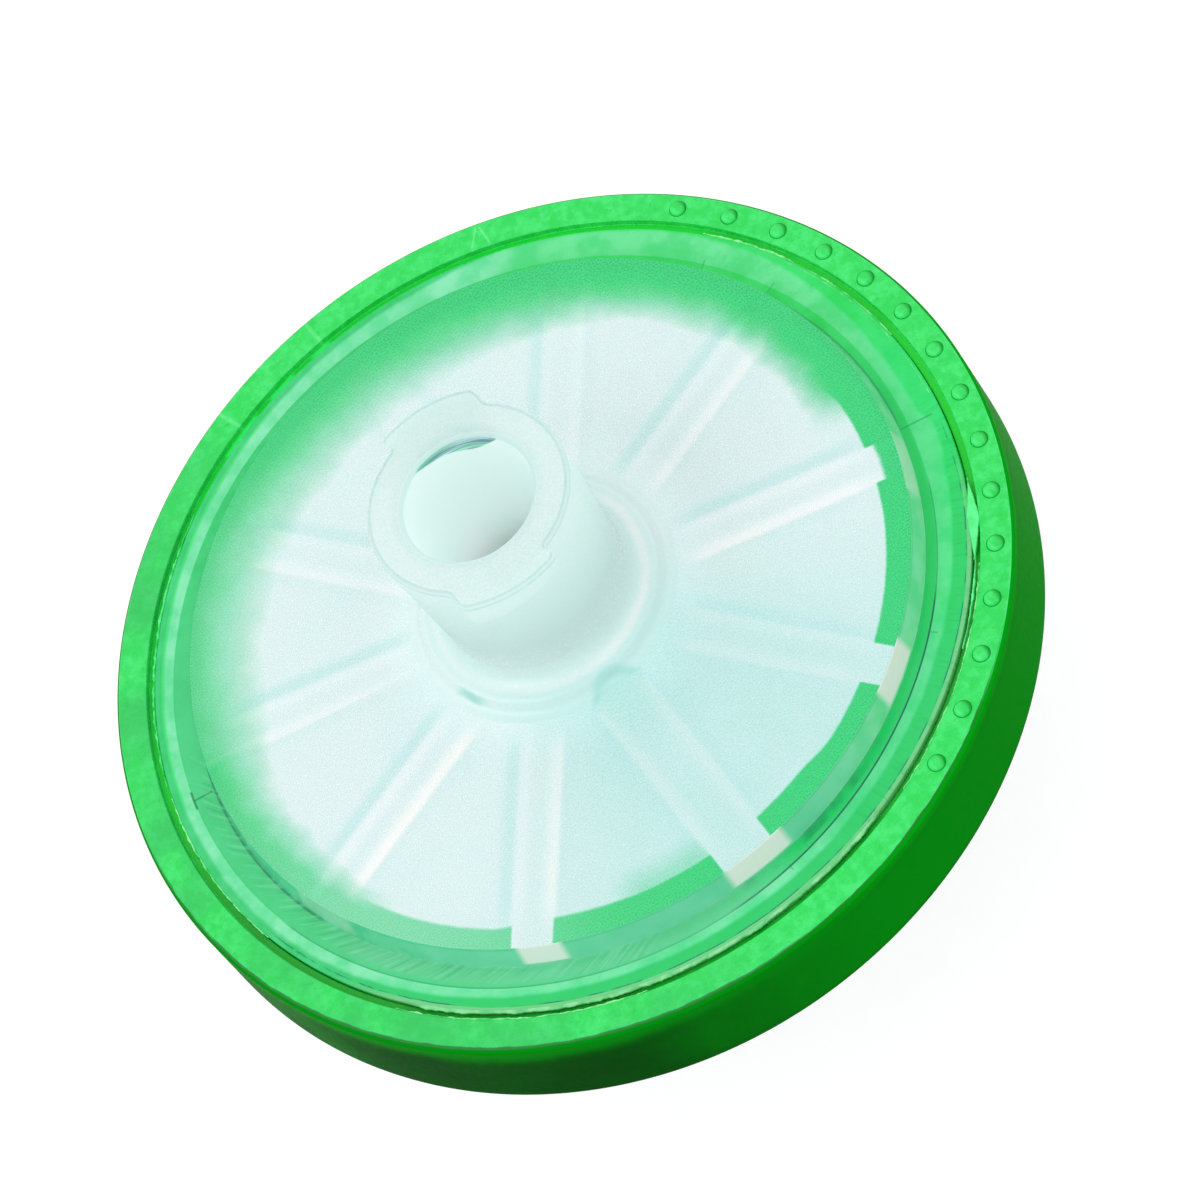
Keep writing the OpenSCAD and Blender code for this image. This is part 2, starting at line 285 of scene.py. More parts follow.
class StageSettings(bpy.types.PropertyGroup):
    """Light and background."""

    light: FloatProperty(
        name="Sky", description="Strength of the light from above", default=1.0, min=0)
    backdrop: FloatProperty(
        name="Backdrop", description="Brightness of the background", default=1.0, min=0)


# ---------- mesh helpers ----------


def at(angle, r, z):
    """Point at an angle round the axis, a radius and a height."""
    return Vector((r * math.cos(angle), r * math.sin(angle), z))


def rounded(corners, closed=True, steps=4):
    """Profile points; each corner (r, z, radius) becomes an arc held by a point on each side."""
    hold = 0.025 * MM
    points = []
    count = len(corners)
    for i, (r, z, radius) in enumerate(corners):
        here = Vector((r, z))
        if radius == 0 or (not closed and i in (0, count - 1)):
            points.append(here)
            continue
        before = Vector(corners[i - 1][:2]) - here
        after = Vector(corners[(i + 1) % count][:2]) - here
        back, ahead = before.normalized(), after.normalized()
        half = back.angle(ahead) / 2
        reach = radius / math.tan(half)
        centre = here + (back + ahead).normalized() * (radius / math.sin(half))
        spoke = here + back * reach - centre
        turn = 2 * (math.pi / 2 - half)
        if back.x * ahead.y - back.y * ahead.x > 0:
            turn = -turn
        if before.length > reach + 3 * hold:
            points.append(here + back * (reach + hold))
        for step in range(steps + 1):
            points.append(centre + Matrix.Rotation(turn * step / steps, 2) @ spoke)
        if after.length > reach + 3 * hold:
            points.append(here + ahead * (reach + hold))
    return points


def around(r, z, count=COLUMNS):
    """One level row of points round the axis."""
    return [at(2 * math.pi * k / count, r, z) for k in range(count)]


def join_rows(bm, low, high, slot=0):
    """Quads between two rows of corners, each of which closes on itself."""
    for k in range(len(low)):
        after = (k + 1) % len(low)
        bm.faces.new((low[k], low[after], high[after], high[k])).material_index = slot


def skin(bm, rows, closed=True, slots=None):
    """Surface over rows that run once round the axis; slots give the finish after each row."""
    loops = [[bm.verts.new(p) for p in row] for row in rows]
    bands = list(zip(loops, loops[1:]))
    if closed:
        bands.append((loops[-1], loops[0]))
    for number, (low, high) in enumerate(bands):
        join_rows(bm, low, high, slots[number] if slots else 0)
    return loops


def block(bm, rows, slot=0):
    """A closed solid through a row of equal, closed sections."""
    loops = [[bm.verts.new(p) for p in row] for row in rows]
    for low, high in zip(loops, loops[1:]):
        join_rows(bm, low, high, slot)
    bm.faces.new(loops[0]).material_index = slot
    bm.faces.new(list(reversed(loops[-1]))).material_index = slot


def finish_piece(bm, name, materials, nodes=()):
    """Turns a bmesh into a smooth-shaded piece that rides on the one body."""
    bmesh.ops.recalc_face_normals(bm, faces=bm.faces)
    for face in bm.faces:
        face.smooth = True
    for edge in bm.edges:
        if len(edge.link_faces) == 2:
            edge.smooth = edge.calc_face_angle(0) < CREASE
    mesh = bpy.data.meshes.new(name)
    bm.to_mesh(mesh)
    bm.free()
    piece = bpy.data.objects.new(name, mesh)
    bpy.context.scene.collection.objects.link(piece)
    for material in materials:
        mesh.materials.append(material)
    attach(piece, "root")
    if nodes:
        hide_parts(*nodes)


# ---------- material helpers ----------


class Finish:
    """A material with its Principled BSDF and short ways to add nodes.

    Where a method takes a value, it is a number or another node's socket.
    """

    def __init__(self, name):
        self.material = bpy.data.materials.new(name)
        self.material.use_nodes = True
        self.nodes = self.material.node_tree.nodes
        self.links = self.material.node_tree.links
        self.shader = self.nodes["Principled BSDF"]
        self.place = self.add("ShaderNodeTexCoord").outputs["Object"]

    def add(self, kind, **settings):
        node = self.nodes.new(kind)
        for key, value in settings.items():
            setattr(node, key, value)
        return node

    def feed(self, value, socket):
        """Joins a socket to the value's socket, or sets it to a number or a colour."""
        if isinstance(value, bpy.types.NodeSocket):
            self.links.new(value, socket)
        elif isinstance(value, (int, float)):
            socket.default_value = value
        else:
            socket.default_value = (*value, 1.0)

    def set(self, **values):
        """Sets numbers of the shader, with _ for the spaces in their names."""
        for key, value in values.items():
            self.shader.inputs[key.replace("_", " ")].default_value = value

    # values

    def math(self, operation, *values, clamp=False):
        node = self.add("ShaderNodeMath", operation=operation, use_clamp=clamp)
        for value, socket in zip(values, node.inputs):
            self.feed(value, socket)
        return node.outputs["Value"]

    def plus(self, a, b):
        return self.math("ADD", a, b)

    def minus(self, a, b):
        return self.math("SUBTRACT", a, b)

    def most(self, a, b):
        return self.math("MAXIMUM", a, b)

    def times(self, *values):
        result = values[0]
        for value in values[1:]:
            result = self.math("MULTIPLY", result, value)
        return result

    def length(self, x, y):
        return self.math("SQRT", self.plus(self.times(x, x), self.times(y, y)))

    def ramp(self, value, low, high, out_low=0.0, out_high=1.0, smooth=True):
        """Maps a value from low..high to out_low..out_high, held at the ends."""
        node = self.add("ShaderNodeMapRange", clamp=True,
                        interpolation_type="SMOOTHSTEP" if smooth else "LINEAR")
        for key, number in (("Value", value), ("From Min", low), ("From Max", high),
                            ("To Min", out_low), ("To Max", out_high)):
            self.feed(number, node.inputs[key])
        return node.outputs["Result"]

    # places

    def polar(self, shift=None):
        """Radius from the axis, angle round it and height, of the place being shaded."""
        split = self.add("ShaderNodeSeparateXYZ")
        self.feed(self.place, split.inputs["Vector"])
        x, y, z = (split.outputs[key] for key in "XYZ")
        if shift:
            x, y = self.minus(x, shift[0]), self.minus(y, shift[1])
        return self.length(x, y), self.math("ARCTAN2", y, x), z

    def band(self, value, centre, half, soft):
        """1 within half of the centre, falling to 0 over the soft distance."""
        away = self.math("ABSOLUTE", self.minus(value, centre))
        return self.ramp(away, half, half + soft, 1.0, 0.0)

    def sector(self, angle, start, end, soft=3.0):
        """1 between two angles in degrees, falling to 0 over the soft angle."""
        away = self.minus(angle, math.radians((start + end) / 2))
        away = self.math("ABSOLUTE", self.math("WRAP", away, math.pi, -math.pi))
        half = math.radians((end - start) / 2)
        return self.ramp(away, half, half + math.radians(soft), 1.0, 0.0)

    def by_angle(self, angle, *knots):
        """A value from 0 to 1 that changes round the axis; knots are (degrees, value) pairs."""
        node = self.add("ShaderNodeFloatCurve")
        self.feed(self.math("DIVIDE", self.plus(angle, math.pi), 2 * math.pi),
                  node.inputs["Value"])
        places = [((degrees + 180) / 360, value) for degrees, value in knots]
        curve = node.mapping.curves[0]
        curve.points[0].location, curve.points[-1].location = places[0], places[-1]
        for place in places[1:-1]:
            curve.points.new(*place)
        node.mapping.update()
        return node.outputs["Value"]

    # patterns

    def noise(self, scale, detail=2.0, roughness=0.5, where=None, stretch=None):
        """Noise texture value; stretch scales the place vector first."""
        node = self.add("ShaderNodeTexNoise")
        for key, number in (("Scale", scale), ("Detail", detail), ("Roughness", roughness)):
            node.inputs[key].default_value = number
        source = where or self.place
        if stretch:
            mapping = self.add("ShaderNodeMapping")
            mapping.inputs["Scale"].default_value = stretch
            self.feed(source, mapping.inputs["Vector"])
            source = mapping.outputs["Vector"]
        self.feed(source, node.inputs["Vector"])
        return node.outputs["Fac"]

    def ragged(self, value, scale, amount):
        """The value with noise added, for uneven edges."""
        return self.plus(value, self.times(self.minus(self.noise(scale, detail=4), 0.5), amount))

    def streaks(self, angle, radius, fineness, slant):
        """Noise drawn out along the radius, leaning by the slant."""
        vector = self.add("ShaderNodeCombineXYZ")
        self.feed(self.plus(self.times(angle, 12.7 * MM), self.times(radius, slant)),
                  vector.inputs["X"])
        self.feed(self.times(radius, 0.12), vector.inputs["Y"])
        return self.noise(fineness * 5, detail=2, where=vector.outputs["Vector"])

    # colours

    def mix(self, factor, a, b, kind="RGBA"):
        """Mixes two colours, or two values when the kind is FLOAT."""
        node = self.add("ShaderNodeMix", data_type=kind)
        first, result = (6, 2) if kind == "RGBA" else (2, 0)
        for value, number in ((factor, 0), (a, first), (b, first + 1)):
            self.feed(value, node.inputs[number])
        return node.outputs[result]

    def mottle(self, pattern, a, b, start=0.35, end=0.65):
        """A colour that goes from a to b, as the pattern goes from start to end."""
        return self.mix(self.ramp(pattern, start, end), a, b)

    def over(self, base, colour, *amounts):
        """Lays a colour over the base, as strongly as the product of the amounts."""
        return self.mix(self.times(*amounts), base, colour)

    # what the shader gets

    def paint(self, colour):
        self.feed(colour, self.shader.inputs["Base Color"])

    def rough(self, pattern, low, high, start=0.3, end=0.7):
        """Roughness from low to high, as the pattern goes from start to end."""
        self.feed(self.ramp(pattern, start, end, low, high, smooth=False),
                  self.shader.inputs["Roughness"])

    def relief(self, pattern, height):
        """Small bumps of a height, shaped by the pattern."""
        node = self.add("ShaderNodeBump")
        node.inputs["Distance"].default_value = height
        self.feed(pattern, node.inputs["Height"])
        self.feed(node.outputs["Normal"], self.shader.inputs["Normal"])

    def see_through(self, colour, amount):
        """Lets a share of the light come through from behind, in a colour."""
        through = self.add("ShaderNodeBsdfTranslucent")
        self.feed(colour, through.inputs["Color"])
        both = self.add("ShaderNodeMixShader")
        for value, number in ((amount, 0), (self.shader.outputs[0], 1), (through.outputs[0], 2)):
            self.feed(value, both.inputs[number])
        self.show(both)

    def show(self, shader):
        """Makes a shader the material's surface."""
        self.feed(shader.outputs[0], self.nodes["Material Output"].inputs["Surface"])


# ---------- finishes ----------

WHITE = (1.0, 1.0, 1.0)
# Teal of the wide rib's round end and of its outline, and where that end shows on the boss
CAP_TEAL, CAP_OUTLINE = (0.4, 0.82, 0.73), (0.25, 0.72, 0.63)
CAP_CENTRE = (1.16 * MM, -4.82 * MM)
# How far aside the ribs and the web show on the plate's top, because the plate bends the view
UNDER_PLATE = (0.115 * MM, -0.476 * MM)


def ring_plastic():
    """Semi-gloss green of the ring's front face: mottled, darker in the seam groove as painted
    shade, and lighter as painted light where it lies under the clear plastic.
    """
    looks = bpy.context.scene.filter_finishes
    f = Finish("ring_plastic")
    radius, angle, height = f.polar()
    clouds = f.noise(2300, detail=5, roughness=0.7)
    base = f.over(looks.ring_face, (0.075, 0.86, 0.22), f.ramp(clouds, 0.38, 0.66), 0.55)
    base = f.over(base, (0.03, 0.46, 0.11), f.ramp(f.noise(420, detail=3), 0.35, 0.65),
                  f.sector(angle, 150, 250, 40), 0.6)
    base = f.over(base, (0.006, 0.46, 0.045),
                  f.ramp(f.noise(5200, detail=3, roughness=0.7), 0.42, 0.3, 0.0, 0.35))
    base = outer_edge(f, base, radius, angle)
    for mark in (106.0, 122.0):
        base = f.over(base, (0.2, 0.92, 0.36), f.sector(angle, mark, mark + 0.15, 0.35), 0.3)
    # a small notch mark: two fine lines that meet at the groove
    for start, slant in ((79.2, 1.0), (81.8, -1.0)):
        lean = f.plus(angle, f.times(f.minus(radius, 14.3 * MM), -slant * 25.0))
        base = f.over(base, (0.25, 0.95, 0.4), f.sector(lean, start, start + 0.1, 0.2),
                      f.band(radius, 14.7 * MM, 0.35 * MM, 0.05 * MM), 0.35)
    base = pip_shading(f, base, height)
    # the groove, darker as painted shade and brighter in a few patches, partly painted light
    groove = f.times(f.band(radius, 14.05 * MM, 0.11 * MM, 0.02 * MM),
                     f.ramp(height, 13.3 * MM, 13.4 * MM))
    # painted shade: the groove's floor in darker green, darker still on one side
    dark = f.mix(f.sector(angle, 0, 180, 25), (0.004, 0.42, 0.02), (0.003, 0.7, 0.035))
    # where green bridges the groove, patches painted bright enough to outshine the groove's shade
    for start, end in ((105.8, 107.8), (112.5, 116.0), (120.0, 126.0)):
        dark = f.over(dark, (0.02, 0.95, 0.13),
                      f.sector(f.ragged(angle, 900, 0.02), start, end, 1.0))
    base = f.over(base, dark, groove)
    # painted light: the lighter copy of the green where the ring lies under the clear plastic
    f.paint(f.over(base, looks.ring_inside_lit, f.ramp(radius, 13.95 * MM, 13.9 * MM)))
    f.rough(f.noise(6200, detail=3), 0.24, 0.38)
    f.relief(clouds, 0.03 * MM)
    f.set(IOR=1.5, Specular_IOR_Level=0.3)
    return f.material


def outer_edge(f, base, radius, angle):
    """The front face's outer edge: ragged, with painted shade on one side, where the wall's shaded
    green is carried onto the face; pale flakes on the other.
    """
    edge = f.ragged(radius, 1500, 0.12 * MM)
    # painted shade: beyond the ragged edge, the wall's shaded green carried onto the face on one
    # side
    base = f.over(base, (0.001, 0.2, 0.012), f.ramp(edge, 15.14 * MM, 15.18 * MM),
                  f.sector(angle, -165, -45, 15))
    # painted shade: a darker line along that edge on part of that side
    base = f.over(base, (0.001, 0.08, 0.006), f.band(edge, 15.14 * MM, 0.01 * MM, 0.03 * MM),
                  f.sector(angle, -155, -85, 12), 0.7)
    return f.over(base, (0.12, 0.9, 0.3), f.ramp(edge, 15.16 * MM, 15.22 * MM),
                  f.sector(angle, -30, 45, 15), 0.7)


def pip_shading(f, base, height):
    """Pips: darker on the side away from the light, paler on the other."""
    facing = f.add("ShaderNodeSeparateXYZ")
    f.feed(f.add("ShaderNodeNewGeometry").outputs["Normal"], facing.inputs["Vector"])
    away = f.plus(f.times(facing.outputs["X"], 0.945), f.times(facing.outputs["Y"], 0.326))
    pip_top = f.ramp(height, 13.745 * MM, 13.76 * MM)
    base = f.over(base, (0.004, 0.34, 0.03), f.ramp(away, 0.1, 0.75), pip_top, 0.85)
    return f.over(base, (0.07, 0.88, 0.22), f.ramp(away, -0.05, -0.5), pip_top, 0.6)


def wall_plastic():
    """Deep, satin green of the ring's side and back: a darker copy of the ring's green as painted
    shade, with painted light along its upper edge and on one side, and painted shade low down on
    another stretch.
    """
    f = Finish("ring_wall_shading")
    _, angle, height = f.polar()
    # the wall's mottled green, darker than the face as painted shade
    deep = f.mottle(f.noise(500, detail=4), bpy.context.scene.filter_finishes.ring_wall_shading,
                    (0.0003, 0.19, 0.004), 0.3, 0.7)
    # painted light: lighter on one side of the wall
    deep = f.over(deep, (0.0003, 0.3, 0.005), f.sector(angle, -62, 60, 40))
    level = f.ragged(height, 500, 0.3 * MM)
    # painted shade: much darker low on the wall along one stretch
    deep = f.over(deep, (0.0002, 0.05, 0.002), f.ramp(level, 13.3 * MM, 12.6 * MM),
                  f.sector(angle, -130, -105, 18), 0.75)
    # painted light: lighter towards the upper edge, and lighter still there on the lighter side
    base = f.mix(f.ramp(level, 12.9 * MM, 13.5 * MM), deep, (0.0003, 0.27, 0.005))
    f.paint(f.over(base, (0.0003, 0.36, 0.006), f.ramp(level, 13.2 * MM, 13.5 * MM),
                   f.sector(angle, -62, 60, 20)))
    grain = f.noise(5200, detail=3)
    f.rough(grain, 0.42, 0.55)
    f.relief(grain, 0.004 * MM)
    f.set(IOR=1.08, Specular_IOR_Level=0.2)
    return f.material


def shadow_plastic():
    """Deep green painted shade: the fine dark rings round the pips, where they meet the face."""
    f = Finish("ring_pip_shade")
    f.paint(f.mix(f.noise(4000), (0.002, 0.26, 0.02), (0.004, 0.42, 0.04)))
    f.set(Roughness=0.6, Specular_IOR_Level=0.05)
    return f.material


def clear_plastic():
    """Glossy clear plastic of the pad, the ribs and the walls between them."""
    f = Finish("clear_plastic")
    grain = f.noise(1500, detail=3)
    f.paint(f.mix(grain, bpy.context.scene.filter_finishes.clear, (0.985, 1.0, 0.995)))
    f.rough(grain, 0.04, 0.1)
    f.relief(grain, 0.003 * MM)
    f.set(Transmission_Weight=1.0, IOR=1.5)
    return f.material


def flange_plastic():
    """Clear flange backed by green, with a paler ring where the halves are bonded."""
    f = Finish("flange_plastic")
    radius, angle, _ = f.polar()
    clouds = f.noise(900, detail=5, roughness=0.6)
    # the bonded ring lies from inner 13 mm to an outer edge that wanders round the axis
    inner = f.polar(shift=(-0.24 * MM, 0.0))[0]
    width = f.by_angle(
        angle, (-180, 0.62), (-150, 0.6), (-130, 0.5), (-100, 0.35), (-75, 0.3), (-45, 0.22),
        (-10, 0.35), (-2, 0.5), (2, 0.2), (20, 0.35), (75, 0.85), (95, 0.62), (180, 0.62))
    outside = f.minus(f.ragged(radius, 700, 0.1 * MM), f.plus(f.times(width, 1 * MM), 13 * MM))
    bonded = f.times(f.ramp(inner, 13.0 * MM, 13.05 * MM),
                     f.ramp(outside, 0.1 * MM, -0.08 * MM))
    base = f.mottle(clouds, (0.03, 0.62, 0.17), (0.06, 0.7, 0.24))
    base = f.over(base, f.mottle(clouds, (0.012, 0.74, 0.11), (0.04, 0.82, 0.18)),
                  f.sector(angle, -25, 72, 15))
    inward = f.ramp(inner, 13.05 * MM, 12.95 * MM)
    base = f.over(base, (0.12, 0.72, 0.34), inward, f.sector(angle, -190, -85, 30), 0.4)
    base = f.over(base, (0.008, 0.58, 0.1), inward, f.sector(angle, -65, 0, 20), 0.7)
    base = f.over(base, f.mottle(clouds, (0.13, 0.8, 0.35), (0.28, 0.9, 0.52)), bonded,
                  f.ramp(f.sector(angle, -62, 72, 12), 0.0, 1.0, 1.0, 0.5))
    base = f.over(base, (0.01, 0.78, 0.22), f.sector(angle, -125, 8, 15), 0.3)
    # outside the bonded ring, near the groove: purer green, then a pale edge, frosted plastic with
    # a painted reflection of the white surroundings
    base = f.over(base, (0.02, 0.64, 0.14), f.ramp(outside, 0.0, 0.12 * MM),
                  f.sector(angle, -130, -20, 20), 0.7)
    rim = f.ragged(radius, 1500, 0.05 * MM)
    base = f.over(base, (0.22, 0.66, 0.28), f.ramp(rim, 13.77 * MM, 13.8 * MM),
                  f.sector(angle, -128, -20, 15), 0.85)
    base = flange_lines(f, base, radius, angle, inner, rim)
    base = flange_scratches(f, base, radius, angle, outside)
    # a small bar across the end of one of the short lines
    f.paint(f.over(base, (0.005, 0.22, 0.07), f.band(radius, 13.27 * MM, 0.03 * MM, 0.02 * MM),
                   f.sector(angle, -179.3, -176.6, 0.3), 0.8))
    scratch = f.noise(900, detail=2, stretch=(1.0, 14.0, 1.0))
    f.rough(scratch, 0.08, 0.2, 0.35, 0.65)
    f.relief(scratch, 0.004 * MM)
    f.set(Transmission_Weight=0.15, IOR=1.5, Specular_IOR_Level=0.25)
    return f.material


def flange_lines(f, base, radius, angle, inner, rim):
    """Thin dark lines round the flange, soft darker and paler patches, and short lines across it.
    """
    # line's middle and half width in mm, first and last angle in degrees, strength, colour
    for value, middle, half, start, end, strength, colour in (
        (inner, 13.035, 0.01, -150, -12, 0.7, (0.01, 0.3, 0.14)),
        (inner, 13.035, 0.02, -80, -30, 0.9, (0.004, 0.13, 0.08)),
        (radius, 12.49, 0.03, -180, -150, 0.8, (0.01, 0.25, 0.12)),
        (radius, 12.49, 0.02, 3, 30, 0.6, (0.01, 0.3, 0.14)),
        (radius, 13.65, 0.025, 120, 180, 0.6, (0.02, 0.9, 0.12)),
    ):
        base = f.over(base, colour, f.band(value, middle * MM, half * MM, 0.02 * MM),
                      f.sector(angle, start, end, 4), strength)
    base = f.over(base, (0.01, 0.2, 0.16), f.band(rim, 13.755 * MM, 0.008 * MM, 0.018 * MM),
                  f.sector(angle, -150, -5, 4), f.ramp(f.noise(1300, detail=3), 0.42, 0.55))
    # uneven darker patches at the foot of the raised middle, and paler green towards it on another
    # stretch
    base = f.over(base, (0.02, 0.35, 0.13), f.band(radius, 12.58 * MM, 0.1 * MM, 0.12 * MM),
                  f.ramp(f.noise(600, detail=3), 0.45, 0.6), f.sector(angle, -78, -54, 4), 0.7)
    base = f.over(base, (0.25, 0.66, 0.45), f.ramp(radius, 13.2 * MM, 12.9 * MM),
                  f.sector(angle, -135, -85, 15), 0.4)
    # short lines: angle in degrees, first and last radius in mm, strength
    for place, low, high, strength in (
        (-178.0, 12.6, 13.27, 0.9), (-0.2, 12.5, 13.6, 0.6), (-73.0, 12.9, 13.1, 0.4),
        (-34.0, 12.8, 13.1, 0.4), (34.0, 12.6, 13.0, 0.4), (46.0, 12.6, 13.0, 0.4),
    ):
        spoke = f.band(radius, (low + high) / 2 * MM, (high - low) / 2 * MM, 0.03 * MM)
        base = f.over(base, (0.01, 0.28, 0.12), spoke,
                      f.sector(angle, place, place + 0.1, 0.15), strength)
    return base


def flange_scratches(f, base, radius, angle, outside):
    """Slanted hatching on the flange's inner part, and fine scratches near the groove."""
    hatch = f.streaks(angle, radius, 900, 1.2)
    for colour, start, end in (((0.3, 0.86, 0.55), 0.5, 0.68), ((0.02, 0.45, 0.2), 0.46, 0.34)):
        base = f.over(base, colour, f.ramp(hatch, start, end),
                      f.ramp(radius, 13.05 * MM, 12.95 * MM), f.sector(angle, -178, -100, 10),
                      0.35)
    return f.over(base, (0.008, 0.5, 0.12), f.ramp(f.streaks(angle, radius, 1500, 0.0), 0.5, 0.35),
                  f.ramp(outside, 0.0, 0.1 * MM), f.sector(angle, -60, -2, 10), 0.3)


def rim_plastic():
    """Clear wall of the raised middle: green behind it, white where the ribs end."""
    f = Finish("rim_plastic")
    _, angle, height = f.polar()
    clouds = f.noise(1100, detail=4)
    base = f.mottle(clouds, (0.07, 0.63, 0.3), (0.15, 0.72, 0.42))
    base = f.over(base, f.mottle(clouds, (0.17, 0.86, 0.4), (0.3, 0.92, 0.54)),
                  f.sector(angle, -55, 40, 15))
    base = f.over(base, (0.24, 0.84, 0.56), f.sector(angle, -125, -60, 12), 0.6)
    base = f.over(base, (0.04, 0.6, 0.25), f.ramp(height, 14.5 * MM, 14.62 * MM, 0.0, 0.6))
    # rib ends: first and last angle in degrees, strength
    level = f.band(height, 14.22 * MM, 0.38 * MM, 0.1 * MM)
    for start, end, strength in ((-112.8, -107.5, 0.9), (-80, -71.3, 0.95), (-45.5, -38, 1.0),
                                 (-151, -142, 0.2), (-12, -3, 0.4)):
        base = f.over(base, WHITE, level, f.sector(angle, start, end, 1.4), strength)
    f.paint(base)
    f.rough(clouds, 0.08, 0.2)
    f.relief(clouds, 0.006 * MM)
    f.set(Transmission_Weight=0.06, IOR=1.5)
    return f.material


def streaked_plastic(name, scale, colours, end, relief, **shine):
    """Smeared plastic: a streaky pair of colours with small bumps."""
    f = Finish(name)
    streak = f.noise(scale, detail=4)
    f.paint(f.mottle(streak, *colours, end=end))
    f.relief(streak, relief * MM)
    f.set(IOR=1.5, **shine)
    return f.material


def flash_plastic():
    """Thin smeared green of the moulding flash."""
    return streaked_plastic("flash_plastic", 2600, ((0.03, 0.6, 0.1), (0.25, 0.85, 0.32)), 0.62,
                            0.02, Roughness=0.25)


def strip_plastic():
    """Pale edge of the clear half that shows in the groove: frosted, with a painted reflection of
    the white surroundings.
    """
    return streaked_plastic("strip_plastic", 1900, ((0.1, 0.58, 0.17), (0.26, 0.74, 0.33)), 0.65,
                            0.01, Roughness=0.45, Specular_IOR_Level=0.3)


def smear_plastic(name, lift=0.0):
    """Ring green that was dragged over the groove; lift makes it brighter."""
    bright = Vector((0.14, 1.0, 0.34))
    colours = [Vector(colour).lerp(bright, lift)
               for colour in ((0.015, 0.62, 0.08), (0.09, 0.88, 0.26))]
    return streaked_plastic(name, 2200, colours, 0.65, 0.005, Roughness=0.35,
                            Specular_IOR_Level=0.35)


def frosted_plastic():
    """Clear plastic with a pebbled mould texture: milky in the middle, green over the web, with
    painted shade towards one side.
    """
    looks = bpy.context.scene.filter_finishes
    f = Finish("frosted_plastic")
    radius, angle, _ = f.polar()
    near, turn, _ = f.polar(shift=UNDER_PLATE)
    grain = f.noise(12500, detail=2, roughness=0.7)
    # milky middle, bluer and deeper towards one side: painted shade
    tone = f.over(looks.frosted, (0.53, 0.89, 0.85), f.sector(angle, -85, -50, 45), 0.85)
    tone = f.over(tone, (0.72, 0.96, 0.99), f.ramp(f.noise(380, detail=4), 0.35, 0.7, 0.0, 0.35))
    rib = nearest_rib(f, near, turn)
    tone, line = rib_marks(f, tone, near, turn, rib)
    green = web_green(f, radius, angle, near, turn, rib[0])
    tone = f.over(tone, f.mottle(green, (0.09, 0.87, 0.44), (0.025, 0.84, 0.25), 0.5, 1.0), green)
    # lighter grains
    tone = f.over(tone, f.mix(green, (0.97, 1.0, 1.0), (0.2, 0.98, 0.45)),
                  f.times(f.ramp(grain, 0.4, 0.62, 0.0, 0.15),
                          f.ramp(green, 0.0, 1.0, 1.0, 0.4)))
    f.paint(tone)
    f.rough(grain, 0.24, 0.32)
    f.relief(grain, 0.0015 * MM)
    # how clear it is: least by the hub, more in the green, less on the light lines of the ribs
    milk = f.plus(f.ramp(radius, 3.8 * MM, 6.5 * MM, 0.1, 0.22), f.times(green, 0.16))
    solid = f.times(line, f.minus(1.0, green))
    f.feed(f.times(milk, f.ramp(solid, 0.0, 1.0, 1.0, 0.6, smooth=False)),
           f.shader.inputs["Transmission Weight"])
    f.set(IOR=1.5)
    return f.material


def nearest_rib(f, near, turn):
    """Distance past the nearest rib's edge, 1 where that rib is the wide one, and its side."""
    housing = bpy.context.scene.filter_housing
    step = math.pi / housing.rib_count
    first = math.degrees(housing.first_rib_angle)
    wide = f.sector(turn, first - 14, first + 14, 0.1)
    across = f.times(f.math("WRAP", f.minus(turn, housing.first_rib_angle), step, -step), near)
    # the wide rib ends in a half circle
    behind = f.times(f.most(f.minus(housing.rib_start, near), 0.0), wide)
    half = f.ramp(wide, 0.0, 1.0, housing.rib_width / 2, housing.first_rib_width / 2, smooth=False)
    return f.minus(f.length(across, behind), half), wide, f.math("SIGN", across)


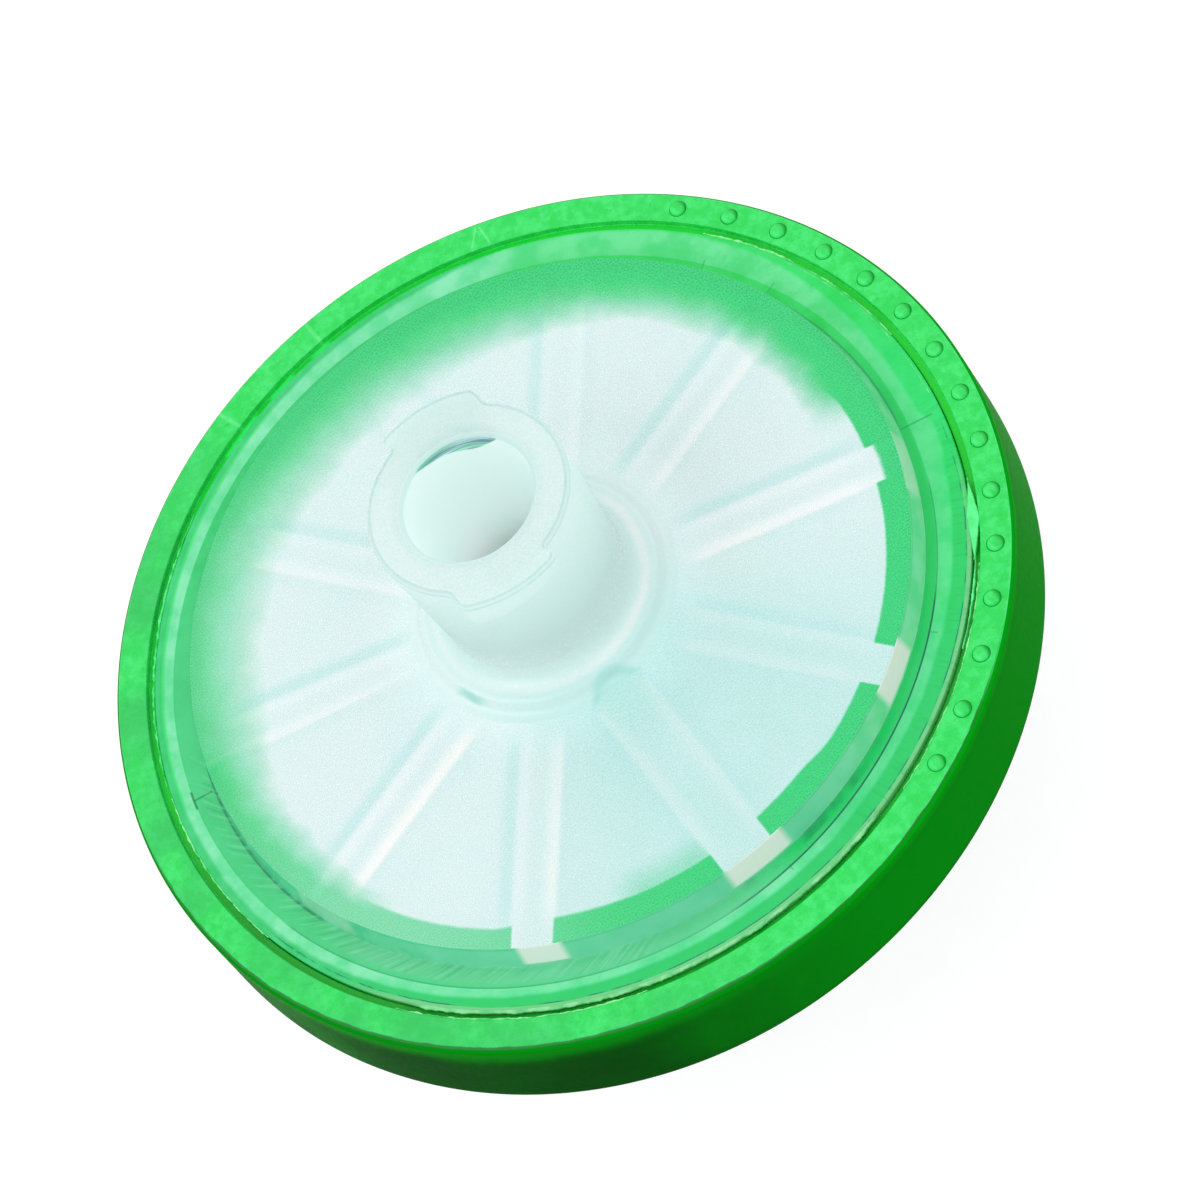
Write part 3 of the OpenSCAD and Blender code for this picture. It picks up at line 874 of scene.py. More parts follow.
def rib_marks(f, tone, near, turn, rib):
    """Ribs seen through the plate: one flank catches the light, the other throws a soft shade.

    Gives the tone with the ribs laid over it, and the strength of the light lines.
    """
    web, housing = bpy.context.scene.filter_ring.web_radius, bpy.context.scene.filter_housing
    aside, wide, side = rib
    start = f.ramp(wide, 0.0, 1.0, housing.rib_start, housing.rib_start - 1.2 * MM, smooth=False)
    along = f.times(f.ramp(f.minus(near, start), 0.0, 1.2 * MM),
                    f.ramp(near, web + 0.8 * MM, web - 0.8 * MM, 0.15, 1.0))
    # from -1 for a flank turned to the light to 1 for one turned away
    faces = f.times(f.math("SINE", f.plus(turn, math.radians(75))), side)
    lit = f.plus(f.ramp(faces, -0.1, -1.0, 0.3, 1.0), f.ramp(faces, 0.3, 1.0, 0.0, 0.1))
    lit = f.times(lit, f.by_angle(
        turn, (-170, 0.4), (-149, 0.95), (-130, 0.7), (-112, 0.75), (-77, 0.7), (-40, 0.32),
        (-20, 0.7), (-4, 0.8), (31, 0.6), (67, 0.3), (104, 0.4), (140, 0.6), (175, 0.5)))
    line = f.times(f.ramp(aside, 0.16 * MM, -0.06 * MM), f.ramp(aside, -0.62 * MM, -0.1 * MM),
                   along, lit)
    tone = f.over(tone, (0.5, 0.88, 0.87), f.times(
        f.band(aside, 0.22 * MM, 0.06 * MM, 0.4 * MM), along, f.ramp(faces, -0.4, 0.9, 0.12, 0.5)))
    bright = f.most(f.sector(turn, -190, -100, 15),
                    f.times(f.sector(turn, -25, 120, 15), f.ramp(turn, 0.7, 1.1, 1.0, 0.5)))
    inside = f.times(f.ramp(aside, 0.2 * MM, -0.4 * MM), along)
    tone = f.over(tone, f.mix(bright, (0.7, 0.95, 0.96), (0.95, 1.0, 1.0)), inside,
                  f.ramp(bright, 0.0, 1.0, 0.08, 0.07))
    tone = f.over(tone, f.mix(f.sector(turn, -160, -20, 20), (0.97, 1.0, 1.0),
                              (1.0, 0.997, 0.975)), line)
    # the wide rib's round end by the hub
    tone = f.over(tone, CAP_TEAL, f.ramp(aside, 0.05 * MM, -0.25 * MM), wide,
                  f.ramp(near, 6.2 * MM, 4.2 * MM), 0.4)
    tone = f.over(tone, CAP_OUTLINE, f.band(aside, -0.05 * MM, 0.03 * MM, 0.2 * MM), wide,
                  f.ramp(near, 4.8 * MM, 3.8 * MM), 0.45)
    return tone, line


def web_green(f, radius, angle, near, turn, aside):
    """How much of the web's green shows: crisp arcs on one side, a soft fade on the other."""
    edge = bpy.context.scene.filter_ring.web_radius
    crisp = f.sector(angle, -134, 2, 10)
    # the arcs stop at the ribs, but for one end that runs on beside its rib
    between = f.most(f.ramp(aside, -0.06 * MM, 0.03 * MM), f.ramp(crisp, 0.0, 1.0, 1.0, 0.0))
    between = f.most(between, f.times(f.sector(turn, -12, 2, 3), f.ramp(
        f.ragged(near, 2000, 0.15 * MM), 11.35 * MM, 11.6 * MM)))
    outward = f.plus(f.times(f.sector(angle, -55, 6, 8), 0.2 * MM),
                     f.times(f.sector(angle, -150, -118, 8), 0.25 * MM))
    arcs = f.minus(f.ragged(near, 2500, 0.05 * MM), outward)
    arcs = f.times(f.ramp(arcs, edge - 0.07 * MM, edge + 0.07 * MM), between)
    # the fade begins at 9 to 12 mm from the axis and takes up to 4 mm
    begin = f.by_angle(
        angle, (-180, 0.3), (-155, 0.55), (-130, 0.63), (-60, 0.5), (6, 0.36), (25, 0.38),
        (55, 0.29), (90, 0.06), (115, 0.05), (145, 0.16), (180, 0.25))
    reach = f.by_angle(
        angle, (-180, 0.75), (-155, 0.27), (-130, 0.2), (-60, 0.25), (6, 0.34), (55, 0.42),
        (90, 0.64), (115, 0.66), (145, 0.85), (180, 0.75))
    fade = f.minus(f.ragged(radius, 1100, 0.7 * MM), f.plus(9 * MM, f.times(3 * MM, begin)))
    fade = f.math("DIVIDE", fade, f.times(4 * MM, reach), clamp=True)
    green = f.times(f.mix(crisp, fade, arcs, kind="FLOAT"), f.by_angle(
        angle, (-180, 0.88), (-155, 0.58), (-130, 0.48), (-95, 0.82), (-60, 1.0), (6, 1.0),
        (90, 0.95), (115, 0.86), (145, 0.9), (180, 0.9)))
    green = f.times(green, f.minus(2.0, green))
    bulge = f.times(f.sector(angle, -92, -84, 7), f.ramp(near, 9.8 * MM, 11.0 * MM), between, 0.5)
    return f.most(green, bulge)


def plate_underside_plastic():
    """Underside of the plate between the ribs: clear plastic, slightly cloudy."""
    f = Finish("plate_underside_plastic")
    clouds = f.noise(450, detail=3)
    f.paint(f.mottle(clouds, bpy.context.scene.filter_finishes.clear, (0.96, 1.0, 1.0), 0.3, 0.7))
    f.rough(clouds, 0.1, 0.2)
    f.set(Transmission_Weight=1.0, IOR=1.5)
    return f.material


def hub_plastic(name, line=False):
    """Thicker milky plastic of the hub, which lets light through its walls.

    With line set, it is the fine darker line along the edge of the mouth.
    """
    looks = bpy.context.scene.filter_finishes
    f = Finish(name)
    radius, angle, height = f.polar()
    mouth = INLET_HIGH.z
    grain = f.noise(11000, detail=2)
    # tone is the plastic's own colour, glow the colour of light that comes through it; some
    # painted light and shade are laid over them below
    tone = f.over(looks.hub, (0.84, 0.98, 0.965), f.ramp(grain, 0.3, 0.7, 0.0, 0.5))
    glow = f.over(looks.glow, (0.95, 1.0, 1.0), f.ramp(grain, 0.3, 0.7, 0.0, 0.3))

    def lay(tint, glow_tint, *amounts):
        nonlocal tone, glow
        tone, glow = f.over(tone, tint, *amounts), f.over(glow, glow_tint, *amounts)

    # the mouth's flat face, with light specks and small dips
    face = f.times(f.ramp(height, mouth - 0.03 * MM, mouth - 0.01 * MM),
                   f.ramp(radius, 2.25 * MM, 2.32 * MM))
    fleck = f.noise(11000, detail=3, roughness=0.8)
    lay((0.92, 0.98, 0.985), (0.92, 0.98, 0.985), face, 0.5)
    lay(WHITE, WHITE, f.times(face, f.ramp(fleck, 0.48, 0.58)))
    lay((0.6, 0.82, 0.82), (0.75, 0.9, 0.9), f.times(face, f.ramp(fleck, 0.5, 0.38), 0.3))
    # deep in the socket, painted nearly white: painted light against the shade that falls there
    lay((0.99, 1.0, 1.0), WHITE, f.times(f.ramp(height, 18 * MM, 15.5 * MM),
                                         f.ramp(radius, 2.4 * MM, 2.3 * MM)))
    tone = hub_foot(f, tone, radius, angle, height)
    # a teal patch deep in the socket, where the green web shines through
    lay((0.3, 0.86, 0.7), (0.45, 0.95, 0.8), f.times(
        f.sector(angle, 80, 104, 16), f.band(height, 15.7 * MM, 0.7 * MM, 0.9 * MM),
        f.ramp(radius, 2.2 * MM, 2.15 * MM)), 0.12)
    # outline of the mouth, along its outer and its inner edge
    outer = f.times(f.band(height, mouth - 0.1 * MM, 0.02 * MM, 0.03 * MM),
                    f.ramp(radius, 2.6 * MM, 2.7 * MM))
    socket = bpy.context.scene.filter_hub.socket_radius
    inner = f.times(f.band(radius, socket + 0.06 * MM, 0.04 * MM, 0.04 * MM),
                    f.ramp(height, mouth - 0.25 * MM, mouth - 0.1 * MM))
    outline = f.most(f.times(outer, 0.35), f.times(inner, 0.2))
    if line:
        outline = f.most(outline, 0.4)
    lay((0.5, 0.78, 0.78), (0.45, 0.72, 0.74), outline)
    shade, crescent = socket_crescent(f, radius, angle, height)
    lay(shade, shade, crescent)
    f.paint(tone)
    f.rough(grain, 0.2, 0.3)
    f.relief(grain, 0.004 * MM)
    f.set(IOR=1.5)
    # light comes through the socket's wall, and through the outside away from the foot
    outside = f.most(f.times(f.sector(angle, 65, 140, 30), 0.85,
                             f.ramp(height, 15.0 * MM, 15.3 * MM)),
                     f.ramp(height, 15.0 * MM, 17.8 * MM, 0.1, 0.78))
    f.see_through(glow, f.mix(f.ramp(radius, 2.6 * MM, 2.4 * MM), outside,
                              f.ramp(height, 13.5 * MM, 15.0 * MM, 0.6, 0.95), kind="FLOAT"))
    return f.material


def hub_foot(f, tone, radius, angle, height):
    """The hub's foot: an uneven light ring in the fillet, a painted highlight, and the plate's
    tone further out, with its painted shade on one side.
    """
    foot = f.ramp(height, 15.9 * MM, 15.2 * MM)
    tone = f.over(tone, (0.66, 0.93, 0.89), foot, 0.6)
    # painted highlight: an uneven light ring in the fillet, stronger on one side
    ring = f.band(f.ragged(radius, 700, 0.35 * MM), 3.62 * MM, 0.03 * MM, 0.26 * MM)
    tone = f.over(tone, (0.95, 1.0, 0.98), foot, ring,
                  f.ramp(f.sector(angle, -60, 20, 30), 0.0, 1.0, 0.35, 0.7))
    # further out, the plate's tone, with the same painted shade towards one side as on the plate
    plate = f.mix(f.sector(angle, -95, -50, 60), (0.8, 0.96, 0.955), (0.62, 0.91, 0.88))
    tone = f.over(tone, plate, foot, f.ramp(radius, 3.7 * MM, 4.0 * MM), 0.85)
    # the wide rib's round end reaches under the boss
    cap = f.polar(shift=CAP_CENTRE)[0]
    low = f.ramp(height, 15.15 * MM, 15.05 * MM)
    tone = f.over(tone, CAP_TEAL, low, f.ramp(cap, 0.95 * MM, 0.7 * MM), 0.4)
    tone = f.over(tone, CAP_OUTLINE, low, f.band(cap, 0.88 * MM, 0.03 * MM, 0.2 * MM), 0.45)
    # a small teal painted reflection of the green ring at the boss's edge
    return f.over(tone, (0.26, 0.74, 0.64), low, f.sector(angle, -145, -142, 10), 0.7,
                  f.band(f.ragged(radius, 1500, 0.2 * MM), 4.12 * MM, 0.03 * MM, 0.13 * MM))


def socket_crescent(f, radius, angle, height):
    """A dark, streaky crescent high in the socket: its colour and where it is."""
    socket = bpy.context.scene.filter_hub.socket_radius
    away = f.math("DIVIDE", f.minus(angle, math.radians(86)), math.radians(42))
    bow = f.times(f.minus(1.0, f.times(away, away)), f.by_angle(
        angle, (-180, 0.45), (0, 0.9), (60, 0.95), (80, 0.7), (100, 0.5), (128, 0.45),
        (180, 0.45)))
    depth = f.ragged(f.minus(INLET_HIGH.z - 0.12 * MM, height), 1200, 0.12 * MM)
    inside = f.times(f.ramp(radius, socket + 0.05 * MM, socket),
                     f.ramp(height, 20 * MM, 20.2 * MM))
    crescent = f.times(f.ramp(f.minus(f.times(bow, 0.85 * MM), depth), 0.0, 0.08 * MM),
                       f.ramp(bow, 0.0, 0.15), inside)
    shade = f.mottle(f.noise(1500, detail=3, stretch=(0.2, 0.2, 5.0)), (0.2, 0.34, 0.42),
                     (0.2, 0.62, 0.42), 0.42, 0.58)
    shade = f.over(shade, (0.62, 0.8, 0.82),
                   f.ramp(f.noise(4200, detail=3, stretch=(0.12, 0.12, 3.0)), 0.45, 0.6))
    return shade, crescent


def outlet_plastic():
    """Milky clear plastic of the outlet half, lightly polished, green where the ring shows."""
    f = Finish("outlet_plastic")
    radius, _, height = f.polar()
    clouds = f.noise(420, detail=4)
    grain = f.noise(7000, detail=2)
    tone = f.mottle(clouds, (0.87, 0.985, 0.975), (0.94, 1.0, 0.995))
    f.paint(f.over(tone, (0.3, 0.88, 0.5), f.ramp(height, 10.4 * MM, 10.8 * MM),
                   f.ramp(radius, 11 * MM, 12 * MM), 0.35))
    f.rough(grain, 0.14, 0.24)
    f.relief(grain, 0.004 * MM)
    f.set(IOR=1.5)
    f.see_through(f.mix(clouds, (0.9, 0.99, 0.98), WHITE),
                  f.ramp(clouds, 0.3, 0.7, 0.55, 0.65, smooth=False))
    return f.material


def membrane_material():
    """Matt white membrane with a faint felted grain."""
    f = Finish("membrane")
    grain = f.noise(3500, detail=4, roughness=0.6)
    f.paint(f.mix(grain, bpy.context.scene.filter_finishes.membrane, (0.97, 0.985, 0.985)))
    f.relief(grain, 0.01 * MM)
    f.set(Roughness=0.9)
    return f.material


# ---------- the ring ----------


def ring_body(bm):
    """Closed section of the ring, run round the axis, without the web's raised arcs."""
    ring, housing = bpy.context.scene.filter_ring, bpy.context.scene.filter_housing
    outlet = bpy.context.scene.filter_outlet
    front, back, wall = RING_HIGH.z - ring.pip_height, RING_LOW.z, RING_HIGH.x
    # what the ring is moulded round: both halves' lips, the membrane and the outlet's plate
    lip, seam = INLET_HIGH.x + GAP, housing.flange_radius + GAP
    under, seat = housing.flange_bottom - GAP, MEMBRANE_LOW.z
    membrane = MEMBRANE_HIGH.x + 0.05 * MM
    plate, flange = outlet.plate_radius + GAP, outlet.flange_bottom - GAP
    profile = rounded([
        (ring.groove_radius, front - ring.groove_depth, 0.03 * MM),
        (ring.groove_radius, front, 0.04 * MM),
        (ring.face_radius - 0.02 * MM, front, 0.05 * MM),
        (ring.face_radius + 0.1 * MM, front - 0.12 * MM, 0.06 * MM),
        (wall, back + ring.back_rounding, 1.5 * MM),
        (wall - 0.03 * MM, back, ring.back_rounding * 0.9),
        (plate + 0.3 * MM, back, 0.05 * MM),
        (plate, back + 0.3 * MM, 0.05 * MM),
        (plate, flange, 0), (seam, flange, 0), (seam, seat - LIP - GAP, 0),
        (lip, seat - LIP - GAP, 0), (lip, seat + GAP, 0),
        (membrane, seat + GAP, 0), (membrane, under, 0),
        (lip, under, 0), (lip, under + LIP + 2 * GAP, 0), (seam, under + LIP + 2 * GAP, 0),
        (seam, front - ring.groove_depth, 0.03 * MM),
    ], steps=5)
    skin(bm, [around(p.x, p.y) for p in profile])


def web_arc(bm, start_rib, end_rib):
    """One raised arc of the web between two ribs, its ends parallel to the ribs."""
    ring, housing = bpy.context.scene.filter_ring, bpy.context.scene.filter_housing
    low, top = MEMBRANE_HIGH.z, housing.plate_underside - GAP
    shelf, outside = housing.flange_bottom - GAP, housing.pocket_radius - GAP
    grip = MEMBRANE_HIGH.x + 0.1 * MM
    section = rounded([
        (ring.web_radius, low, 0), (ring.web_radius, top, 0.06 * MM), (outside, top, 0.06 * MM),
        (outside, shelf, 0), (grip, shelf, 0), (grip, low, 0),
    ])
    (start, start_width), (end, end_width) = start_rib, end_rib
    steps = 60
    rows = []
    for i in range(steps + 1):
        row = []
        for p in section:
            first = start + math.asin((start_width / 2 + GAP) / p.x)
            last = end - math.asin((end_width / 2 + GAP) / p.x)
            row.append(at(first + (last - first) * (i / steps), p.x, p.y))
        rows.append(row)
    block(bm, rows)


def pip(bm, angle):
    """A button with a rounded shoulder, in a fine dark ring of painted shade."""
    ring = bpy.context.scene.filter_ring
    front, r = RING_HIGH.z - ring.pip_height, ring.pip_radius
    turn = Matrix.Rotation(angle, 4, "Z") @ Matrix.Translation(
        (ring.face_radius - ring.pip_inset, 0, 0))

    def turned(profile):
        return [[turn @ p for p in around(pr, pz, 40)] for pr, pz in profile]

    button = [(r, front - 0.05 * MM)]
    for share in (1.0, 0.97, 0.9, 0.8, 0.65, 0.5, 0.35, 0.2, 0.08):
        button.append((r * share, front + ring.pip_height * math.sqrt(1 - share**2.4)))
    loops = skin(bm, turned(button), closed=False)
    bm.faces.new(loops[-1])
    bm.faces.new(list(reversed(loops[0])))
    # a thin dark sheet round the button's foot: painted shade where the pip meets the face
    shade_skirt = [(r, front - 0.02 * MM), (r, front + 0.004 * MM),
             (r * 1.1, front + 0.003 * MM), (r * 1.12, front - 0.02 * MM)]
    skin(bm, turned(shade_skirt), slots=[1] * len(shade_skirt))


def rib_list():
    """Angle and width of each rib; the first is the wide one."""
    housing = bpy.context.scene.filter_housing
    step = 2 * math.pi / housing.rib_count
    ribs = [(housing.first_rib_angle, housing.first_rib_width)]
    for i in range(1, housing.rib_count):
        ribs.append((housing.first_rib_angle + step * i, housing.rib_width))
    return ribs


class FILTER_OT_ring(bpy.types.Operator):
    """Make the green ring with its web and pips"""

    bl_idname = "filter.ring"
    bl_label = "Green Ring"

    def execute(self, context):
        ring = context.scene.filter_ring
        bm = bmesh.new()
        ring_body(bm)
        ribs = rib_list()
        first_angle, first_width = ribs[0]
        for start, end in zip(ribs, ribs[1:] + [(first_angle + 2 * math.pi, first_width)]):
            web_arc(bm, start, end)
        for i in range(ring.pip_count):
            pip(bm, ring.pip_middle + (i - (ring.pip_count - 1) / 2) * ring.pip_pitch)
        # the wall and the back have a finish of their own, with painted shade and painted light
        for face in bm.faces:
            middle = face.calc_center_median()
            if face.material_index == 0 and (
                    middle.xy.length > ring.face_radius + 0.02 * MM
                    or middle.z < RING_LOW.z + 0.9 * MM):
                face.material_index = 2
        finish_piece(bm, "green_ring", [ring_plastic(), shadow_plastic(), wall_plastic()],
                     ["overmould_ring"])
        return {"FINISHED"}


# ---------- the moulding flash ----------

# Finishes of the flash, in the order of its materials
PALE, STRIP, SMEAR, BRIGHT = range(4)


def flash(bm, start, end, inner, outer, top, uneven, seed, slot=PALE, thick=0.05, taper=6):
    """A thin ribbon round the axis with uneven edges; angles in degrees, sizes in mm.

    uneven holds how far the inner and the outer edge wander. taper is the number of rows over
    which both ends run out.
    """
    step = 0.22
    count = int((end - start) / step)
    rows = []
    for i in range(count + 1):
        degrees = start + (end - start) * i / count
        fade = min(1.0, i / taper, (count - i) / taper)
        waves = []
        for side in (0, 1):
            wave = noise.noise(Vector((degrees * 0.9, seed + side * 7.3, 0.4)))
            wave += 0.6 * noise.noise(Vector((degrees * 2.6, seed + side * 3.1, 2.4)))
            waves.append(wave * uneven[side])
        middle = (inner + outer) / 2
        low = middle + (inner + waves[0] - middle) * fade
        high = max(low + 0.012, middle + (outer + waves[1] - middle) * fade)
        lift = top + 0.012 * noise.noise(Vector((degrees * 1.7, seed, 5.0)))
        section = ((low, lift - thick), (low + 0.01, lift - 0.01), (low + 0.02, lift),
                   (high - 0.02, lift), (high - 0.005, lift - 0.015), (high, lift - thick))
        rows.append([at(math.radians(degrees), r, z) * MM for r, z in section])
    block(bm, rows, slot)


class FILTER_OT_flash(bpy.types.Operator):
    """Make the thin moulding flash in the seam groove"""

    bl_idname = "filter.flash"
    bl_label = "Moulding Flash"

    def execute(self, context):
        front = (RING_HIGH.z - context.scene.filter_ring.pip_height) / MM
        seam = context.scene.filter_housing.flange_top / MM
        bm = bmesh.new()
        # pale strip of the clear half over the groove, partly a painted reflection of the white
        # surroundings
        flash(bm, -130, -60, 13.86, 13.99, seam + 0.01, (0.0, 0.04), 1.0, STRIP, 0.06, 14)
        # light lips on both sides of the groove
        flash(bm, -131, -97, 14.15, 14.21, front + 0.002, (0.035, 0.0), 3.0)
        flash(bm, -56, -24, 14.15, 14.21, front + 0.002, (0.035, 0.0), 4.0)
        flash(bm, 14, 34, 13.9, 13.95, seam + 0.004, (0.01, 0.025), 5.0)
        flash(bm, 34, 48, 13.9, 13.99, seam + 0.006, (0.01, 0.045), 5.5)
        flash(bm, -180, -153, 13.9, 13.96, seam + 0.006, (0.01, 0.04), 6.0)
        flash(bm, 3, 34, 13.8, 13.84, seam + 0.006, (0.01, 0.02), 7.0)
        # smear across the groove, with a thin tail
        flash(bm, -23.5, -11.5, 13.82, 14.2, seam + 0.04, (0.03, 0.02), 8.0, BRIGHT, 0.1, 24)
        flash(bm, -36, -21, 13.99, 14.08, seam + 0.02, (0.02, 0.03), 9.0, BRIGHT, 0.08, 34)
        # a partly filled stretch
        flash(bm, 136, 178, 13.94, 14.02, seam - 0.03, (0.03, 0.06), 13.0, SMEAR, 0.05, 24)
        finish_piece(bm, "moulding_flash", [
            flash_plastic(), strip_plastic(), smear_plastic("smear_plastic"),
            smear_plastic("bright_smear", 0.5)])
        return {"FINISHED"}


# ---------- the inlet half ----------

# Finishes of the inlet half, in the order of its materials
CLEAR, FROSTED, HUB, FLANGE, RIM, UNDERSIDE, EDGE = range(7)
# A rib's flank, from the plate down to the rib's face: mm past the rib's edge, share of depth
FLANK = [(0.12, 0.0), (0.05, 0.03), (0.0, 0.1), (-0.03, 0.9), (-0.06, 0.98), (-0.13, 1.0)]
# Columns on a rib's face
RIB_FACE = 5


def half_width(rib, r):
    """Half of a rib's width at a radius; the wide rib ends in a half circle."""
    housing = bpy.context.scene.filter_housing
    if rib:
        return housing.rib_width / 2
    half = housing.first_rib_width / 2
    if r >= housing.rib_start:
        return half
    least = 0.15 * MM
    return math.sqrt(max(half**2 - (housing.rib_start - r) ** 2, least**2))


def plate_columns():
    """Columns of the underside: (rib, kind, value, depth share).

    The kind is -1 or 1 for a rib's flanks, with a distance past the rib's edge as the value, 0
    for its face and 2 for the plate up to the next rib, with a share of the way.
    """
    ribs = bpy.context.scene.filter_housing.rib_count
    if COLUMNS % ribs:
        raise ValueError(f"{COLUMNS} columns can't be shared out between {ribs} ribs")
    between = COLUMNS // ribs - 2 * len(FLANK) - RIB_FACE
    columns = []
    for rib in range(ribs):
        columns += [(rib, -1, past * MM, depth) for past, depth in FLANK]
        columns += [(rib, 0, 2 * (i + 1) / (RIB_FACE + 1) - 1, 1.0) for i in range(RIB_FACE)]
        columns += [(rib, 1, past * MM, depth) for past, depth in reversed(FLANK)]
        columns += [(rib, 2, (i + 1) / (between + 1), 0.0) for i in range(between)]
    return columns


def column_angle(column, r):
    """Angle of a column at a radius, so that the ribs keep parallel sides."""
    rib, kind, value, _ = column
    housing = bpy.context.scene.filter_housing
    step = 2 * math.pi / housing.rib_count
    centre = housing.first_rib_angle + rib * step

    def edge(number, side, past):
        width = half_width(number % housing.rib_count, r) + past
        return math.asin(max(-1, min(1, side * width / r)))

    if kind in (-1, 1):
        return centre + edge(rib, kind, value)
    if kind == 0:
        return centre + value * edge(rib, 1, FLANK[-1][0] * MM)
    start = centre + edge(rib, 1, FLANK[0][0] * MM)
    end = centre + step + edge(rib + 1, -1, FLANK[0][0] * MM)
    return start + (end - start) * value


def hub_columns():
    """Columns of the hub: angle, angle on the lugs, how far the lug stands out, lug depth."""
    hub = bpy.context.scene.filter_hub
    # columns on one half: lead-in flank, lug's outside, stop, and the rest up to the next lug
    flank, arc, stop = 16, 92, 8
    rest = COLUMNS // 2 - flank - arc - stop
    chord = hub.radius * math.sin(hub.lug_half_angle)

    def depth(x):
        share = (x + chord) / (2 * chord)
        return hub.lug_lead_depth + (hub.lug_stop_depth - hub.lug_lead_depth) * share

    half = []
    lead = -math.pi / 2 - hub.lug_half_angle
    end = -math.pi / 2 + hub.lug_half_angle
    root = Vector((math.cos(lead), math.sin(lead))) * hub.radius
    way = Vector((math.cos(lead + hub.lug_lead), math.sin(lead + hub.lug_lead)))
    along = root.dot(way)
    length = -along + math.sqrt(along**2 + hub.lug_radius**2 - hub.radius**2)
    for i in range(flank):
        p = root + way * (length * i / flank)
        angle = math.atan2(p.y, p.x)
        half.append((angle, angle, p.length, depth(p.x)))
    tip = root + way * length
    first = math.atan2(tip.y, tip.x)
    for i in range(arc):
        angle = first + (end - first) * i / (arc - 1)
        half.append((angle, angle, hub.lug_radius, depth(hub.lug_radius * math.cos(angle))))
    # the stop stands on one angle, and its columns fan out from it on the hub's own wall
    spread = math.radians(0.1)
    for i in range(stop):
        r = hub.lug_radius + (hub.radius - hub.lug_radius) * (i + 1) / stop
        half.append((end + spread * (i + 1), end, r, depth(r * math.cos(end))))
    start, last_depth, first_depth = half[-1][0], half[-1][3], half[0][3]
    for i in range(rest):
        share = (i + 1) / (rest + 1)
        angle = start + (lead + math.pi - start) * share
        half.append((angle, angle, hub.radius, last_depth + (first_depth - last_depth) * share))
    whole = half + [(a + math.pi, b + math.pi, r, d) for a, b, r, d in half]
    outline = [Vector((math.cos(b), math.sin(b))) * r for _, b, r, _ in whole]
    trace = 0.004 * MM
    columns = []
    for (angle, _, _, lug_depth), corner in zip(whole, soften(outline, hub.lug_corner)):
        lug_angle = angle + math.remainder(math.atan2(corner.y, corner.x) - angle, 2 * math.pi)
        # away from the lugs the softened outline lies on the hub's wall, give or take a trace
        stand = corner.length - hub.radius
        columns.append((angle, lug_angle, stand if stand > trace else 0.0, lug_depth))
    return columns


def soften(outline, reach):
    """Rounds the corners of a closed outline: each point becomes the mean of its surroundings."""
    count, spacing = len(outline), 0.03 * MM
    result = []
    for i in range(count):
        total, weight = outline[i].copy(), 1.0
        for way in (-1, 1):
            path, here = 0.0, i
            while True:
                after = here + way
                length = (outline[after % count] - outline[here % count]).length
                if path + length > reach:
                    break
                path += length
                total += outline[after % count] * (length / spacing)
                weight += length / spacing
                here = after
        result.append(total / weight)
    return result


